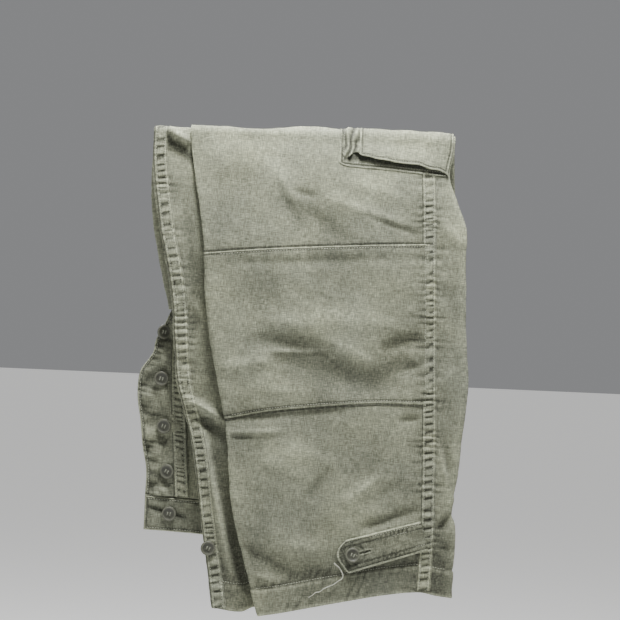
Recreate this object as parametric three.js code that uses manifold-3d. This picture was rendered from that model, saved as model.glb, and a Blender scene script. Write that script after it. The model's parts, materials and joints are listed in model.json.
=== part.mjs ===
// Cotton work trousers with a button fly, hung folded over a hanger bar.
//
// The origin is where the cloth rests on top of the hanger bar. +X runs along the bar, towards the back
// creases of the legs, -Y faces the viewer and +Z is up. In front of the bar hang the two lower legs, left
// leg foremost. Behind it hang the thighs, the hips and the waistband, upside down.
//
// Two more coordinates place the cloth. "run" is the length of cloth from the fold: positive down the front
// and negative down the back. "lift" is how far a layer of cloth lies from the bar's axis.

import * as THREE from "three";
import { mergeVertices } from "three/addons/utils/BufferGeometryUtils.js";
import Module from "manifold-3d";

const wasm = await Module();
wasm.setup();

const { lerp, smoothstep, clamp, degToRad } = THREE.MathUtils;

// ---- Driving dimensions, in millimetres ----

const CLOTH = 0.9; // one panel
const DOUBLE = 1.8; // two plies sewn together: tabs, flaps, plackets and the waistband
const GAP = 0.4; // clearance between neighbouring pieces
const STITCH_GAP = 0.3; // clearance under a button's shank
const FAN = 140; // the layers spread apart over this much run below the bar
const CROTCH = 200; // run from the fold back to the crotch
const WAIST = 404; // run from the fold back to the waistband seam, at the fly
const WAISTBAND = 38; // height of the waistband
const BUTTON = { radius: 8.2, thick: 2.6, dish: 0.7, hole: 1.0, spread: 1.9, shank: 1.6 };
const BUTTON_EYE = 8.7; // radius of an opened buttonhole, which passes the button's head
const EYE_STAND = DOUBLE + 2 * GAP - STITCH_GAP; // shank of a button that holds a tab or a flap
const FLY_STAND = 1; // shank of a fly button, with nothing buttoned on it
const TAB = { length: 99, root: 33, tip: 37, tilt: degToRad(17.5), run: 432, reach: 81.5 };
const SPARE_BUTTON_RUN = 457;
const CARGO = { mouth: 180, inset: 8, leftGusset: 40, leftFace: 60, rightGusset: -6, rightHem: 40 };
const FLAP = { width: 118, height: 66, hinge: 192, corner: 13, inset: 22, row: 17 };
const HIP_SLIT = { x: 22, z: -322, length: 150, width: 1.6, angle: degToRad(38) };
const BUTTONHOLE = { length: 20, width: 1.6 };
const LOOP = { width: 11, thick: 1.4, rise: 3, foot: 6, overhang: 5 };
const ARC_STEP = Math.PI / 11; // an odd count, so that one facet lies level on top of the bar
const SEAT_ARC = 8 * ARC_STEP; // the part of the right leg's fold that stays on the bar
const FOLD_START = SEAT_ARC + degToRad(3);

const OLIVE = 0x8a8d78;
const OLIVE_SHADE = 0x73765f;
const BUTTON_GREEN = 0x4a4c3f;

// ---- Curves along the cloth ----

const steps = (n, from = 0, to = 1) => Array.from({ length: n + 1 }, (_, i) => lerp(from, to, i / n));

// A smooth function through [at, value] knots, flat beyond its ends.
function curve(knots) {
  const slope = knots.map((_, i) => {
    const before = knots[Math.max(i - 1, 0)];
    const after = knots[Math.min(i + 1, knots.length - 1)];
    return (after[1] - before[1]) / (after[0] - before[0]);
  });
  return (at) => {
    const u = clamp(at, knots[0][0], knots[knots.length - 1][0]);
    const i = Math.max(knots.findIndex((k) => k[0] >= u), 1) - 1;
    const [[u0, v0], [u1, v1]] = [knots[i], knots[i + 1]];
    const h = u1 - u0;
    const t = (u - u0) / h;
    const ease = t * t * (3 - 2 * t);
    const leave = t * (1 - t) * (1 - t) * h * slope[i];
    const arrive = t * t * (t - 1) * h * slope[i + 1];
    return lerp(v0, v1, ease) + leave + arrive;
  };
}

// Every piece bends only at these runs, so layers that lie on one another keep their gaps.
const STATIONS = [0, 20, 45, 75, 105, 140, 200, 260, 330, 420, 530];

function bendsAtStations(smooth) {
  return (run) => {
    const sign = run < 0 ? -1 : 1;
    const i = Math.max(STATIONS.findIndex((s) => s >= Math.abs(run)), 1);
    const [a, b] = [STATIONS[i - 1], STATIONS[i]];
    return lerp(smooth(sign * a), smooth(sign * b), (Math.abs(run) - a) / (b - a));
  };
}

const seam = (...knots) => bendsAtStations(curve(knots));
const fanned = (tight, loose) =>
  bendsAtStations((run) => lerp(tight, loose, smoothstep(Math.abs(run), 0, FAN)));

// The two legs: the lift of each one's two faces, and x along its creases and seams.
// The left leg's outer face looks at the viewer, and the right leg's looks at the bar.
const LEGS = {
  left: {
    outward: 1,
    outer: fanned(9.6, 34),
    inner: fanned(8.1, 24),
    frontCrease: seam([-404, -152], [-290, -160], [-200, -138], [0, -127], [100, -112], [345, -73],
      [530, -31]),
    backCrease: seam([-404, 158], [-300, 170], [-150, 174], [0, 166], [37, 163], [110, 182], [270, 189],
      [405, 179], [500, 184]),
    outseam: seam([-404, 35], [-300, 85], [-190, 110], [0, 135], [138, 142], [410, 152], [500, 150]),
    inseam: seam([-460, 102], [-404, 88], [-300, -20], [-200, -124], [0, -118], [100, -102], [345, -60],
      [530, -18]),
    hem: curve([[-31, 528], [68, 507], [146, 494], [184, 499]]),
  },
  right: {
    outward: -1,
    outer: fanned(5.1, 9),
    inner: fanned(6.6, 17),
    frontCrease: seam([-404, -127], [-300, -134], [-200, -143], [-84, -168], [0, -169], [94, -159],
      [185, -140], [273, -130], [375, -106], [525, -81]),
    backCrease: seam([-404, 148], [-300, 156], [-150, 152], [0, 128], [150, 140], [270, 143], [525, 135]),
    outseam: seam([-404, 30], [-300, 80], [-190, 100], [0, 92], [150, 104], [410, 106], [525, 100]),
    inseam: seam([-460, 102], [-404, 88], [-300, -20], [-200, -128], [0, -160], [94, -150], [185, -131],
      [273, -121], [375, -97], [525, -70]),
    hem: curve([[-81, 523], [-49, 525], [135, 491]]),
  },
};

const waistSeam = curve([[-165, WAIST], [-100, 407], [0, 416], [160, 424]]);
const patchTop = curve([[-110, 132], [-36, 124], [135, 112]]);
const patchBottom = curve([[-130, 322], [-75, 313], [30, 295], [140, 288]]);
const cargoLip = curve([[40, 27], [62, 31], [161, 37]]);
const cargoEdge = curve([[60, 15], [87, 21], [161, 34]]);
const standEdge = curve([[200, -147], [230, -157], [265, -172], [296, -175], [349, -167], [385, -161],
  [404, -162]]);

// How high the level facet on top of the bar stands above the bar's axis: the cloth rests there.
const BAR_SEAT = (LEGS.right.outer(0) - 1.5 * CLOTH - GAP) * Math.cos(ARC_STEP / 2);

// ---- Cross-sections: lists of [x, lift] from one cut edge of a panel to the other ----

const faceSpread = (leg, run) => Math.abs(leg.outer(run) - leg.inner(run)) / 2;
const across = (from, to, lift, n) => steps(n, from, to).map((x) => [x, lift]);

// Half a turn round a crease, from one face's lift to the other's: side is -1 at the front, 1 at the back.
function turn(crease, side, from, to) {
  const r = Math.abs(from - to) / 2;
  return steps(4, 0, Math.PI).map((a) => [
    crease - side * r * (1 - Math.sin(a)),
    lerp(from, to, (1 - Math.cos(a)) / 2),
  ]);
}

// The inseam, kept clear of the turn round the front crease.
const inseamAt = (leg, run) => Math.max(leg.inseam(run), leg.frontCrease(run) + faceSpread(leg, run) + 1);

function frontSection(leg, run) {
  const [outer, inner, crease] = [leg.outer(run), leg.inner(run), leg.frontCrease(run)];
  return [
    ...across(leg.outseam(run) - GAP / 2, crease + faceSpread(leg, run), outer, 4).slice(0, -1),
    ...turn(crease, -1, outer, inner),
    [inseamAt(leg, run) - GAP / 2, inner],
  ];
}

function backSection(leg, run) {
  const [outer, inner, crease] = [leg.outer(run), leg.inner(run), leg.backCrease(run)];
  const end = inseamAt(leg, run) + GAP / 2;
  const allowance = 22;
  return [
    [leg.outseam(run) + GAP / 2, outer],
    ...turn(crease, 1, outer, inner),
    ...across(crease - faceSpread(leg, run), end + allowance, inner, 4).slice(1),
    [end, run < -CROTCH ? seatMeeting(leg) : inner],
  ];
}

// Beyond the crotch the two halves come together at the centre back seam.
function seatMeeting(leg) {
  const middle = (LEGS.left.inner(-CROTCH) + LEGS.right.inner(-CROTCH)) / 2;
  return middle + leg.outward * (CLOTH + GAP) / 2;
}

// A whole leg at the fold, as a closed loop.
function wholeSection(leg) {
  const front = frontSection(leg, 0).slice(0, -1);
  const back = backSection(leg, 0).slice(1, -1).reverse();
  return [...front, ...back];
}

// Moves a section along its normals. A positive distance goes to the right of its direction of travel.
function offset(section, distance, closed = false) {
  const n = section.length;
  return section.map(([x, lift], i) => {
    const before = section[closed ? (i + n - 1) % n : Math.max(i - 1, 0)];
    const after = section[closed ? (i + 1) % n : Math.min(i + 1, n - 1)];
    const [dx, dl] = [after[0] - before[0], after[1] - before[1]];
    const length = Math.hypot(dx, dl);
    return [x + (dl / length) * distance, lift - (dx / length) * distance];
  });
}

// ---- Solids ----

// A closed skin between two grids of points of the same shape, over[row][column] and under[row][column].
// With wrap set, each row closes on itself.
function skin(over, under, wrap = false) {
  const [rows, columns] = [over.length, over[0].length];
  const last = wrap ? columns : columns - 1;
  const index = [];
  const at = (side, row, column) => side * rows * columns + row * columns + (column % columns);
  const quad = (a, b, c, d) => index.push(a, b, c, a, c, d);
  for (let r = 0; r < rows - 1; r++) {
    for (let c = 0; c < last; c++) {
      quad(at(0, r, c), at(0, r, c + 1), at(0, r + 1, c + 1), at(0, r + 1, c));
      quad(at(1, r, c), at(1, r + 1, c), at(1, r + 1, c + 1), at(1, r, c + 1));
    }
    if (!wrap) {
      quad(at(0, r, 0), at(0, r + 1, 0), at(1, r + 1, 0), at(1, r, 0));
      quad(at(0, r, last), at(1, r, last), at(1, r + 1, last), at(0, r + 1, last));
    }
  }
  for (let c = 0; c < last; c++) {
    quad(at(0, 0, c), at(1, 0, c), at(1, 0, c + 1), at(0, 0, c + 1));
    quad(at(0, rows - 1, c), at(0, rows - 1, c + 1), at(1, rows - 1, c + 1), at(1, rows - 1, c));
  }
  const geometry = new THREE.BufferGeometry().setFromPoints([...over.flat(), ...under.flat()]);
  geometry.setIndex(index);
  return facingOut(geometry);
}

// Turns every face round if the geometry is inside out.
function facingOut(geometry) {
  const position = geometry.attributes.position;
  const index = geometry.index.array;
  const corners = [new THREE.Vector3(), new THREE.Vector3(), new THREE.Vector3()];
  let volume = 0;
  for (let i = 0; i < index.length; i += 3) {
    corners.forEach((corner, k) => corner.fromBufferAttribute(position, index[i + k]));
    volume += corners[0].dot(corners[1].cross(corners[2]));
  }
  if (volume < 0) {
    for (let i = 0; i < index.length; i += 3) [index[i + 1], index[i + 2]] = [index[i + 2], index[i + 1]];
  }
  return geometry;
}

// Hanging cloth that follows section(run) from one run to another. Either end may be a function of x.
function cloth({ section, from, to, thick = CLOTH, out = 0 }) {
  const [start, end] = [from, to].map((edge) => (typeof edge === "function" ? edge : () => edge));
  const sampled = steps(10, -165, 185);
  const nearest = Math.max(...sampled.map((x) => Math.abs(start(x))));
  const farthest = Math.min(...sampled.map((x) => Math.abs(end(x))));
  const sign = Math.sign(end(0));
  const between = STATIONS.filter((s) => s > nearest + 2 && s < farthest - 2);
  const rows = [start, ...between.map((s) => () => sign * s), end];
  const side = (distance) => rows.map((row) => section(row(0)).map(([x], i) => {
    const run = row(x);
    const [sideways, lift] = offset(section(run), distance)[i];
    return new THREE.Vector3(sideways, -sign * lift, -Math.abs(run));
  }));
  return skin(side(out + thick / 2), side(out - thick / 2));
}

// Cloth bent round the bar between two angles: 0 is level at the back and PI is level at the front.
function bent({ section, from = 0, to = Math.PI, thick = CLOTH, out = 0, closed = false }) {
  const rows = steps(Math.round((to - from) / ARC_STEP), from, to);
  const side = (distance) => rows.map((angle) => offset(section, distance, closed).map(([x, lift]) =>
    new THREE.Vector3(x, lift * Math.cos(angle), lift * Math.sin(angle))));
  return skin(side(out + thick / 2), side(out - thick / 2), closed);
}

function solid(geometry) {
  const bare = geometry.clone();
  bare.deleteAttribute("normal");
  bare.deleteAttribute("uv");
  const merged = mergeVertices(bare);
  const vertProperties = merged.attributes.position.array;
  const triVerts = new Uint32Array(merged.index.array);
  return new wasm.Manifold(new wasm.Mesh({ numProp: 3, vertProperties, triVerts }));
}

function geometryOf(made) {
  const mesh = made.getMesh();
  const geometry = new THREE.BufferGeometry();
  geometry.setAttribute("position", new THREE.BufferAttribute(mesh.vertProperties, 3));
  geometry.setIndex(new THREE.BufferAttribute(mesh.triVerts, 1));
  return geometry;
}

const join = (a, b) => geometryOf(solid(a).add(solid(b)));
const cut = (body, ...tools) => geometryOf(tools.reduce((left, t) => left.subtract(solid(t)), solid(body)));

// ---- Flat pieces, drawn in (x, z) ----

// An outline that runs anticlockwise, so that holes cut in it face the right way.
function outline(points) {
  const corners = points.map(([x, z]) => new THREE.Vector2(x, z));
  return new THREE.Shape(THREE.ShapeUtils.isClockWise(corners) ? corners.reverse() : corners);
}

function addHole(shape, points) {
  shape.holes.push(new THREE.Path(points.map(([x, z]) => new THREE.Vector2(x, z))));
}

function addEye(shape, x, z) {
  const angles = steps(16, 2 * Math.PI, 0).slice(1);
  addHole(shape, angles.map((a) => [x + BUTTON_EYE * Math.cos(a), z + BUTTON_EYE * Math.sin(a)]));
}

function addButtonhole(shape, x, z) {
  const [a, b] = [BUTTONHOLE.length / 2, BUTTONHOLE.width / 2];
  addHole(shape, [[x - a, z - b], [x - a, z + b], [x + a, z + b], [x + a, z - b]]);
}

// An upright plate whose face nearest the viewer is at y = 0.
function plate(shape, thick) {
  const geometry = new THREE.ExtrudeGeometry(shape, { depth: thick, bevelEnabled: false });
  return geometry.rotateX(Math.PI / 2).translate(0, thick, 0);
}

// ---- The scene graph ----

const look = (color, roughness) => ({ color, roughness, metalness: 0 });
const LOOKS = {
  cloth: look(OLIVE, 0.92),
  lining: look(OLIVE_SHADE, 0.95),
  button: look(BUTTON_GREEN, 0.5),
};

const trousers = new THREE.Group();
const hung = new THREE.Group();
hung.position.z = -BAR_SEAT;
trousers.add(hung);
const groups = { hips: new THREE.Group(), left: new THREE.Group(), right: new THREE.Group() };
hung.add(groups.hips, groups.left, groups.right);

function add(group, name, geometry, kind = "cloth") {
  const mesh = new THREE.Mesh(geometry, new THREE.MeshStandardMaterial(LOOKS[kind]));
  mesh.name = name;
  group.add(mesh);
  return mesh;
}

// ---- Buttons ----

// A dished four-hole button on its thread shank. It looks along +Y, and its shank ends at y = 0.
function button(stand) {
  const { radius, thick, dish, hole, spread, shank } = BUTTON;
  const [back, face, floor] = [stand, stand + thick, stand + thick - dish];
  const profile = [[0, 0], [shank, 0], [shank, back], [0.7 * radius, back], [radius, back + 0.45 * thick],
    [0.9 * radius, face], [0.62 * radius, floor], [0, floor]];
  const head = new THREE.LatheGeometry(profile.map(([r, y]) => new THREE.Vector2(r, y)), 14);
  const drill = ([x, z]) => new THREE.CylinderGeometry(hole, hole, thick, 6).translate(x, face, z);
  const holes = [[spread, spread], [spread, -spread], [-spread, spread], [-spread, -spread]];
  return cut(head, ...holes.map(drill));
}

const EYE_BUTTON = button(EYE_STAND);
const FLY_BUTTON = button(FLY_STAND);

// Sews a button on at (x, z). y is the cloth's surface there, and away turns the button from the viewer.
function addButton(group, name, geometry, [x, y, z], away) {
  const mesh = add(group, name, geometry, "button");
  mesh.position.set(x, y + (away ? STITCH_GAP : -STITCH_GAP), z);
  mesh.rotation.x = away ? 0 : Math.PI;
}

// ---- Lower legs ----

function lowerLeg(side) {
  const leg = LEGS[side];
  const front = (run) => frontSection(leg, run);
  const back = (run) => backSection(leg, run);
  const out = leg.outward * (CLOTH + GAP);
  add(groups[side], `${side}_front_panel_lower`, cloth({ section: front, from: GAP, to: leg.hem }));
  add(groups[side], `${side}_back_panel_lower`, cloth({ section: back, from: GAP, to: leg.hem }));
  add(groups[side], `${side}_knee_patch`, cloth({ section: front, out, from: patchTop, to: patchBottom }));
}

// A strap sewn into the outseam. It slopes down to the front crease, where its buttonhole passes a button.
function hemTab(side) {
  const leg = LEGS[side];
  const { length, root, tip, tilt, run, reach } = TAB;
  const sewn = leg.outseam(run) - 3;
  const shape = outline([[2, root / 2], [-length + 11, tip / 2], [-length + 2, tip / 2 - 6], [-length, 4],
    [-length + 11, -tip / 2], [2, -root / 2]]);
  addEye(shape, -reach, 0);
  const beyond = new THREE.BoxGeometry(20, 10, 90).translate(10, 0, 0);
  const strap = cut(plate(shape, DOUBLE).rotateY(-tilt), beyond);
  const surface = leg.outer(run) + leg.outward * CLOTH / 2;
  const nearest = surface + (leg.outward > 0 ? GAP + DOUBLE : -GAP);
  add(groups[side], `${side}_hem_tab`, strap).position.set(sewn, -nearest, -run);
  const place = [sewn - reach * Math.cos(tilt), -surface, -run - reach * Math.sin(tilt)];
  addButton(groups[side], `${side}_hem_tab_button`, EYE_BUTTON, place, side === "right");
}

// The button that takes up the hem, on the inner face beside the front crease.
function hemSpareButton(side) {
  const leg = LEGS[side];
  const run = SPARE_BUTTON_RUN;
  const x = leg.frontCrease(run) + faceSpread(leg, run);
  const surface = leg.inner(run) - leg.outward * CLOTH / 2;
  addButton(groups[side], `${side}_hem_spare_button`, FLY_BUTTON, [x, -surface, -run], side === "left");
}

// ---- The fold over the bar ----

function foldOverBar() {
  const [left, right] = [wholeSection(LEGS.left), wholeSection(LEGS.right)];
  add(groups.hips, "left_leg_fold_over", bent({ section: left, closed: true }));
  add(groups.hips, "right_leg_bar_seat", bent({ section: right, closed: true, to: SEAT_ARC }));
  add(groups.hips, "right_leg_fold_over", bent({ section: right, closed: true, from: FOLD_START }));
}

// ---- Thighs and hips ----

function upperPanels(side) {
  const leg = LEGS[side];
  const waistEdge = (x) => -waistSeam(x) + GAP;
  const wrapped = (run) => frontSection(leg, run);
  const flat = (run) => across(leg.outseam(run) - GAP / 2, leg.frontCrease(run) + GAP / 2, leg.outer(run), 5);
  const thigh = cloth({ section: wrapped, from: -GAP, to: -CROTCH });
  const hip = cloth({ section: flat, from: -CROTCH + 1, to: waistEdge });
  const front = join(thigh, hip);
  const back = cloth({ section: (run) => backSection(leg, run), from: -GAP, to: waistEdge });
  add(groups.hips, `${side}_front_panel_upper`, side === "left" ? cut(front, hipSlit()) : front);
  add(groups.hips, `${side}_back_panel_upper`, back);
}

// The slanted mouth of the left hip pocket.
function hipSlit() {
  const { x, z, length, width, angle } = HIP_SLIT;
  return new THREE.BoxGeometry(width, 6, length).rotateY(angle).translate(x, LEGS.left.outer(z), z);
}

// A pocket bag lies inside the front panel, and up towards the thigh because the hips hang upside down.
function hipPocketBag(side) {
  const leg = LEGS[side];
  const bag = outline([[-60, -395], [30, -395], [70, -300], [62, -215], [20, -198], [-52, -215]]);
  const surface = leg.outer(-WAIST) - leg.outward * (CLOTH / 2 + GAP);
  const nearest = leg.outward > 0 ? surface - CLOTH : surface;
  add(groups.hips, `${side}_hip_pocket_bag`, plate(bag, CLOTH), "lining").position.y = nearest;
}

function backPocket(side) {
  const leg = LEGS[side];
  const pocket = outline([[66, -395], [156, -395], [159, -290], [128, -268], [96, -282]]);
  const surface = leg.outer(-WAIST) + leg.outward * (CLOTH / 2 + GAP);
  const nearest = leg.outward > 0 ? surface : surface - CLOTH;
  const sideways = side === "left" ? 0 : -14;
  add(groups.hips, `${side}_back_pocket`, plate(pocket, CLOTH)).position.set(sideways, nearest, 0);
}

function waistband(side) {
  const leg = LEGS[side];
  const [outer, inner, crease] = [leg.outer(-WAIST), leg.inner(-WAIST), leg.backCrease(-WAIST)];
  const r = faceSpread(leg, -WAIST);
  const [fly, centreBack] = [side === "left" ? -156 : -162, 92];
  const section = () => [
    ...across(fly, crease - r, outer, 5).slice(0, -1),
    ...turn(crease, 1, outer, inner),
    ...across(crease - r, centreBack, inner, 2).slice(1),
  ];
  const from = (x) => -waistSeam(x) - GAP / 2;
  const to = (x) => -waistSeam(x) - WAISTBAND;
  add(groups.hips, `${side}_waistband`, cloth({ section, from, to, thick: DOUBLE }));
}

// A strap that bridges the waistband, standing off it in the middle.
function beltLoop(side, number, x) {
  const leg = LEGS[side];
  const { width, thick, rise, foot, overhang } = LOOP;
  const [top, bottom] = [overhang, -WAISTBAND - overhang];
  const under = [[top, 0], [top - foot, 0], [top - foot - rise, rise], [bottom + foot + rise, rise],
    [bottom + foot, 0], [bottom, 0]];
  const over = under.map(([z, y]) => [z, y + thick]).reverse();
  const profile = outline([...under, ...over].map(([z, y]) => [leg.outward * y, z]));
  const strap = new THREE.ExtrudeGeometry(profile, { depth: width, bevelEnabled: false });
  const stood = strap.rotateY(Math.PI / 2).rotateX(Math.PI / 2).translate(-width / 2, 0, 0);
  const surface = leg.outer(-WAIST) + leg.outward * (DOUBLE / 2 + GAP);
  add(groups.hips, `${side}_belt_loop_${number}`, stood).position.set(x, surface, -waistSeam(x));
}

// ---- Fly ----

const FLY_BUTTONS = [[-149, -221], [-149, -273], [-144, -326], [-138, -376]];

function fly() {
  const leg = LEGS.right;
  const runs = steps(9, CROTCH + 4, WAIST - 1);
  const free = runs.map((run) => [standEdge(run), -run]);
  const sewn = runs.map((run) => [leg.frontCrease(-run) - GAP / 2, -run]).reverse();
  const surface = leg.outer(-WAIST) - DOUBLE / 2;
  add(groups.hips, "fly_button_stand", plate(outline([...free, ...sewn]), DOUBLE)).position.y = surface;
  FLY_BUTTONS.forEach(([x, z], i) =>
    addButton(groups.hips, `fly_button_${i + 1}`, FLY_BUTTON, [x, surface, z], false));
  addButton(groups.hips, "waistband_button", FLY_BUTTON, [-134, surface, -423], false);
}

// The strip inside the left front that carries the fly's buttonholes.
function buttonholeStrip() {
  const strip = outline([[-150, -396], [-113, -396], [-113, -232], [-130, -214], [-142, -226], [-150, -290]]);
  for (const z of [-250, -292, -334, -376]) addButtonhole(strip, -133, z);
  const nearest = LEGS.left.outer(-WAIST) - CLOTH / 2 - GAP - DOUBLE;
  add(groups.hips, "fly_buttonhole_strip", plate(strip, DOUBLE)).position.y = nearest;
}

// ---- Cargo pockets, sewn over the outseams and folded over the bar with the legs ----

// The section of a pocket's layer on a leg's outer face, from its front edge to beside the back crease.
function pocketSection(leg, edge) {
  return (run) => across(edge, leg.backCrease(run) - CARGO.inset, leg.outer(run), 4);
}

function leftCargoPocket() {
  const gusset = pocketSection(LEGS.left, CARGO.leftGusset);
  const face = pocketSection(LEGS.left, CARGO.leftFace);
  const ply = -(CLOTH + GAP);
  const upper = { from: -GAP, to: -CARGO.mouth };
  const side = cloth({ section: gusset, out: ply, from: GAP, to: cargoLip });
  add(groups.left, "left_cargo_gusset_lower", side);
  const lower = cloth({ section: face, out: 2 * ply, from: GAP, to: cargoEdge });
  add(groups.left, "left_cargo_pocket_lower", lower);
  const overBar = bent({ section: gusset(0), out: 1.5 * ply, thick: 2 * CLOTH + GAP });
  add(groups.hips, "left_cargo_pocket_fold", overBar);
  add(groups.hips, "left_cargo_gusset_upper", cloth({ section: gusset, out: ply, ...upper }));
  add(groups.hips, "left_cargo_pocket_upper", cloth({ section: face, out: 2 * ply, ...upper }));
}

function rightCargoPocket() {
  const section = pocketSection(LEGS.right, CARGO.rightGusset);
  const out = CLOTH + GAP;
  const onBar = bent({ section: section(0), out, to: SEAT_ARC });
  const behind = cloth({ section, out, from: 0, to: -CARGO.mouth });
  add(groups.right, "right_cargo_pocket_lower", cloth({ section, out, from: GAP, to: CARGO.rightHem }));
  add(groups.hips, "right_cargo_pocket_fold", bent({ section: section(0), out, from: FOLD_START }));
  add(groups.hips, "right_cargo_pocket_upper", join(onBar, behind));
}

// A flap sewn on past its pocket's mouth. It points up over the pocket, as the thigh hangs upside down.
function cargoFlap(side) {
  const leg = LEGS[side];
  const { width, height, hinge, corner, inset, row } = FLAP;
  const left = side === "left" ? CARGO.leftGusset : CARGO.rightGusset + 8;
  const [right, top, square] = [left + width, height - hinge, height - hinge - corner];
  const shape = outline([[left, -hinge], [left, square], [left + corner, top], [right - corner, top],
    [right, square], [right, -hinge]]);
  const buttons = [left + inset, right - inset];
  buttons.forEach((x) => addEye(shape, x, top - row));
  const plies = side === "left" ? 2 : 1;
  const surface = leg.outer(-hinge) + leg.outward * (plies * (CLOTH + GAP) + CLOTH / 2);
  const nearest = surface + (leg.outward > 0 ? GAP : -GAP - DOUBLE);
  add(groups.hips, `${side}_cargo_flap`, plate(shape, DOUBLE)).position.y = nearest;
  buttons.forEach((x, i) => {
    const name = `${side}_cargo_button_${i + 1}`;
    addButton(groups.hips, name, EYE_BUTTON, [x, surface, top - row], side === "left");
  });
}

for (const side of ["left", "right"]) {
  lowerLeg(side);
  hemTab(side);
  hemSpareButton(side);
  upperPanels(side);
  hipPocketBag(side);
  backPocket(side);
  waistband(side);
  cargoFlap(side);
}
foldOverBar();
fly();
buttonholeStrip();
leftCargoPocket();
rightCargoPocket();
[-75, 30, 122].forEach((x, i) => beltLoop("left", i + 1, x));
[-45, 40, 118].forEach((x, i) => beltLoop("right", i + 1, x));

export default trousers;
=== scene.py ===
"""Washed cotton work trousers, folded lengthwise and hung over a bar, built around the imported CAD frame.

Lengths are millimetres until a mesh is made. Three coordinates place the cloth of a leg: x runs along the
bar, q is the length of cloth from the top of the fold (positive down the front, negative down the back), and
lift is how far a layer lies from the bar's axis. "run" is q without the part that lies round the bar.
"""

import json
import math
from types import SimpleNamespace

import bmesh
import bpy
import numpy as np
from mathutils import Matrix, Vector


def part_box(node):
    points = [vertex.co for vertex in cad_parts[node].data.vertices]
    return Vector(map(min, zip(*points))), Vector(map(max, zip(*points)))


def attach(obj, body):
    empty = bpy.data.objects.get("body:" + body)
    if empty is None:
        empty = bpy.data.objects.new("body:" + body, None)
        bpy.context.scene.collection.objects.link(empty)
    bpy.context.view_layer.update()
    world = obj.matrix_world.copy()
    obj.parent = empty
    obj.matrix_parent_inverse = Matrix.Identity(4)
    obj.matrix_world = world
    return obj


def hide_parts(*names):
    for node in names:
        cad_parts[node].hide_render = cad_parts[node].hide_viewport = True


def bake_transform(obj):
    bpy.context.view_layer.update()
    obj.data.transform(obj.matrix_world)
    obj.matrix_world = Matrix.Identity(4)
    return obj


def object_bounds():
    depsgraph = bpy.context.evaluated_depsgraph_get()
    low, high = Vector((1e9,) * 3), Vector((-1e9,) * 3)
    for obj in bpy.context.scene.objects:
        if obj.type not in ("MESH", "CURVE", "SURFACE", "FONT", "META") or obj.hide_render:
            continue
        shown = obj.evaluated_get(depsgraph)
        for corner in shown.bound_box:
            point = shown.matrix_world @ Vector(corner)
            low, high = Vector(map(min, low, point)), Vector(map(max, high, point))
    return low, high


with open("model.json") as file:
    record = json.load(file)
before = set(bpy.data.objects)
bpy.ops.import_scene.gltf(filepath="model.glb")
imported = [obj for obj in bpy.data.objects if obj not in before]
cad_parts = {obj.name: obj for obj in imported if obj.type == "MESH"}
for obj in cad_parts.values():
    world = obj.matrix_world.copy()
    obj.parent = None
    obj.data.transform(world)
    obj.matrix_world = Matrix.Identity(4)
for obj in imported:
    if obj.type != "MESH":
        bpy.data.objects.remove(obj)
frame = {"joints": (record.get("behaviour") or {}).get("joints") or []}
CAD_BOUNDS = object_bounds()

# ---- Driving dimensions ----

MM = 0.001
JOINTS = {joint["name"]: joint for joint in frame["joints"]}
AXIS_Z = JOINTS["left_leg_lift"]["pos_m"][2] / MM  # the bar's axis, below the cloth's seat on it
CLOTH = 0.9  # one ply
DOUBLE = 1.8  # two plies sewn together
GAP = 0.4
FOLD_DEPTH = 3.0  # how far the listed folds are deepened
FOLD_SHADING = 0.20  # how much each millimetre of a fold paints its ridge paler and its valley darker, as painted light and shade
FOLD_SHADING_MOST = 0.6  # the most painted light on a ridge, and painted shade in a valley, that a fold's height alone gives
FAN = 140  # the layers spread apart over this much run
CROTCH = 200
WAISTBAND = 38
HEM = 30  # height of the hem's stitching
TIP = 2.4  # a fold edge is this many times longer than half its thickness
SEAM_WIDTH = 12.5
STITCH = SimpleNamespace(pitch=3.0, length=2.3, radius=0.3)
FLAP = SimpleNamespace(width=118, height=66, hinge=192, corner=13)  # a cargo flap
PATCH_LENGTH = 180  # about the knee patch's height
FINE = 2.1  # spacing of the mesh over visible cloth
COARSE = 5.0


# ---- Curves ----

def smooth(t):
    t = np.clip(t, 0.0, 1.0)
    return t * t * (3 - 2 * t)


def mix(a, b, t):
    return a + (b - a) * t


def bell(distance, width):
    """A soft bump: 1 at no distance, and near 0 from two widths on."""
    return np.exp(-(distance / width) ** 2)


def rounded(distance, lip):
    """A quarter round: 0 at an edge, and 1 from the lip's width on."""
    return np.sqrt(np.clip(1 - (1 - np.clip(distance / lip, 0, 1)) ** 2, 0, 1))


def curve(*knots):
    """A smooth function through (at, value) knots, flat beyond its ends."""
    at, value = np.array(knots, float).T
    last = len(at) - 1
    order = np.arange(len(at))
    before, after = np.maximum(order - 1, 0), np.minimum(order + 1, last)
    slope = (value[after] - value[before]) / (at[after] - at[before])

    def read(where):
        u = np.clip(where, at[0], at[-1])
        i = np.clip(np.searchsorted(at, u) - 1, 0, last - 1)
        h = at[i + 1] - at[i]
        t = (u - at[i]) / h
        leave = t * (1 - t) ** 2 * h * slope[i]
        arrive = t * t * (t - 1) * h * slope[i + 1]
        return mix(value[i], value[i + 1], t * t * (3 - 2 * t)) + leave + arrive

    return read


def fanned(tight, loose):
    return lambda run: mix(tight, loose, smooth(np.abs(run) / FAN))


def make_leg(side, **shape):
    leg = SimpleNamespace(side=side, **shape)
    leg.outward = 1 if side == "left" else -1
    leg.half = math.pi / 4 * float(leg.outer(0) + leg.inner(0))
    leg.body = f"{side}_leg"
    return leg


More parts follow.
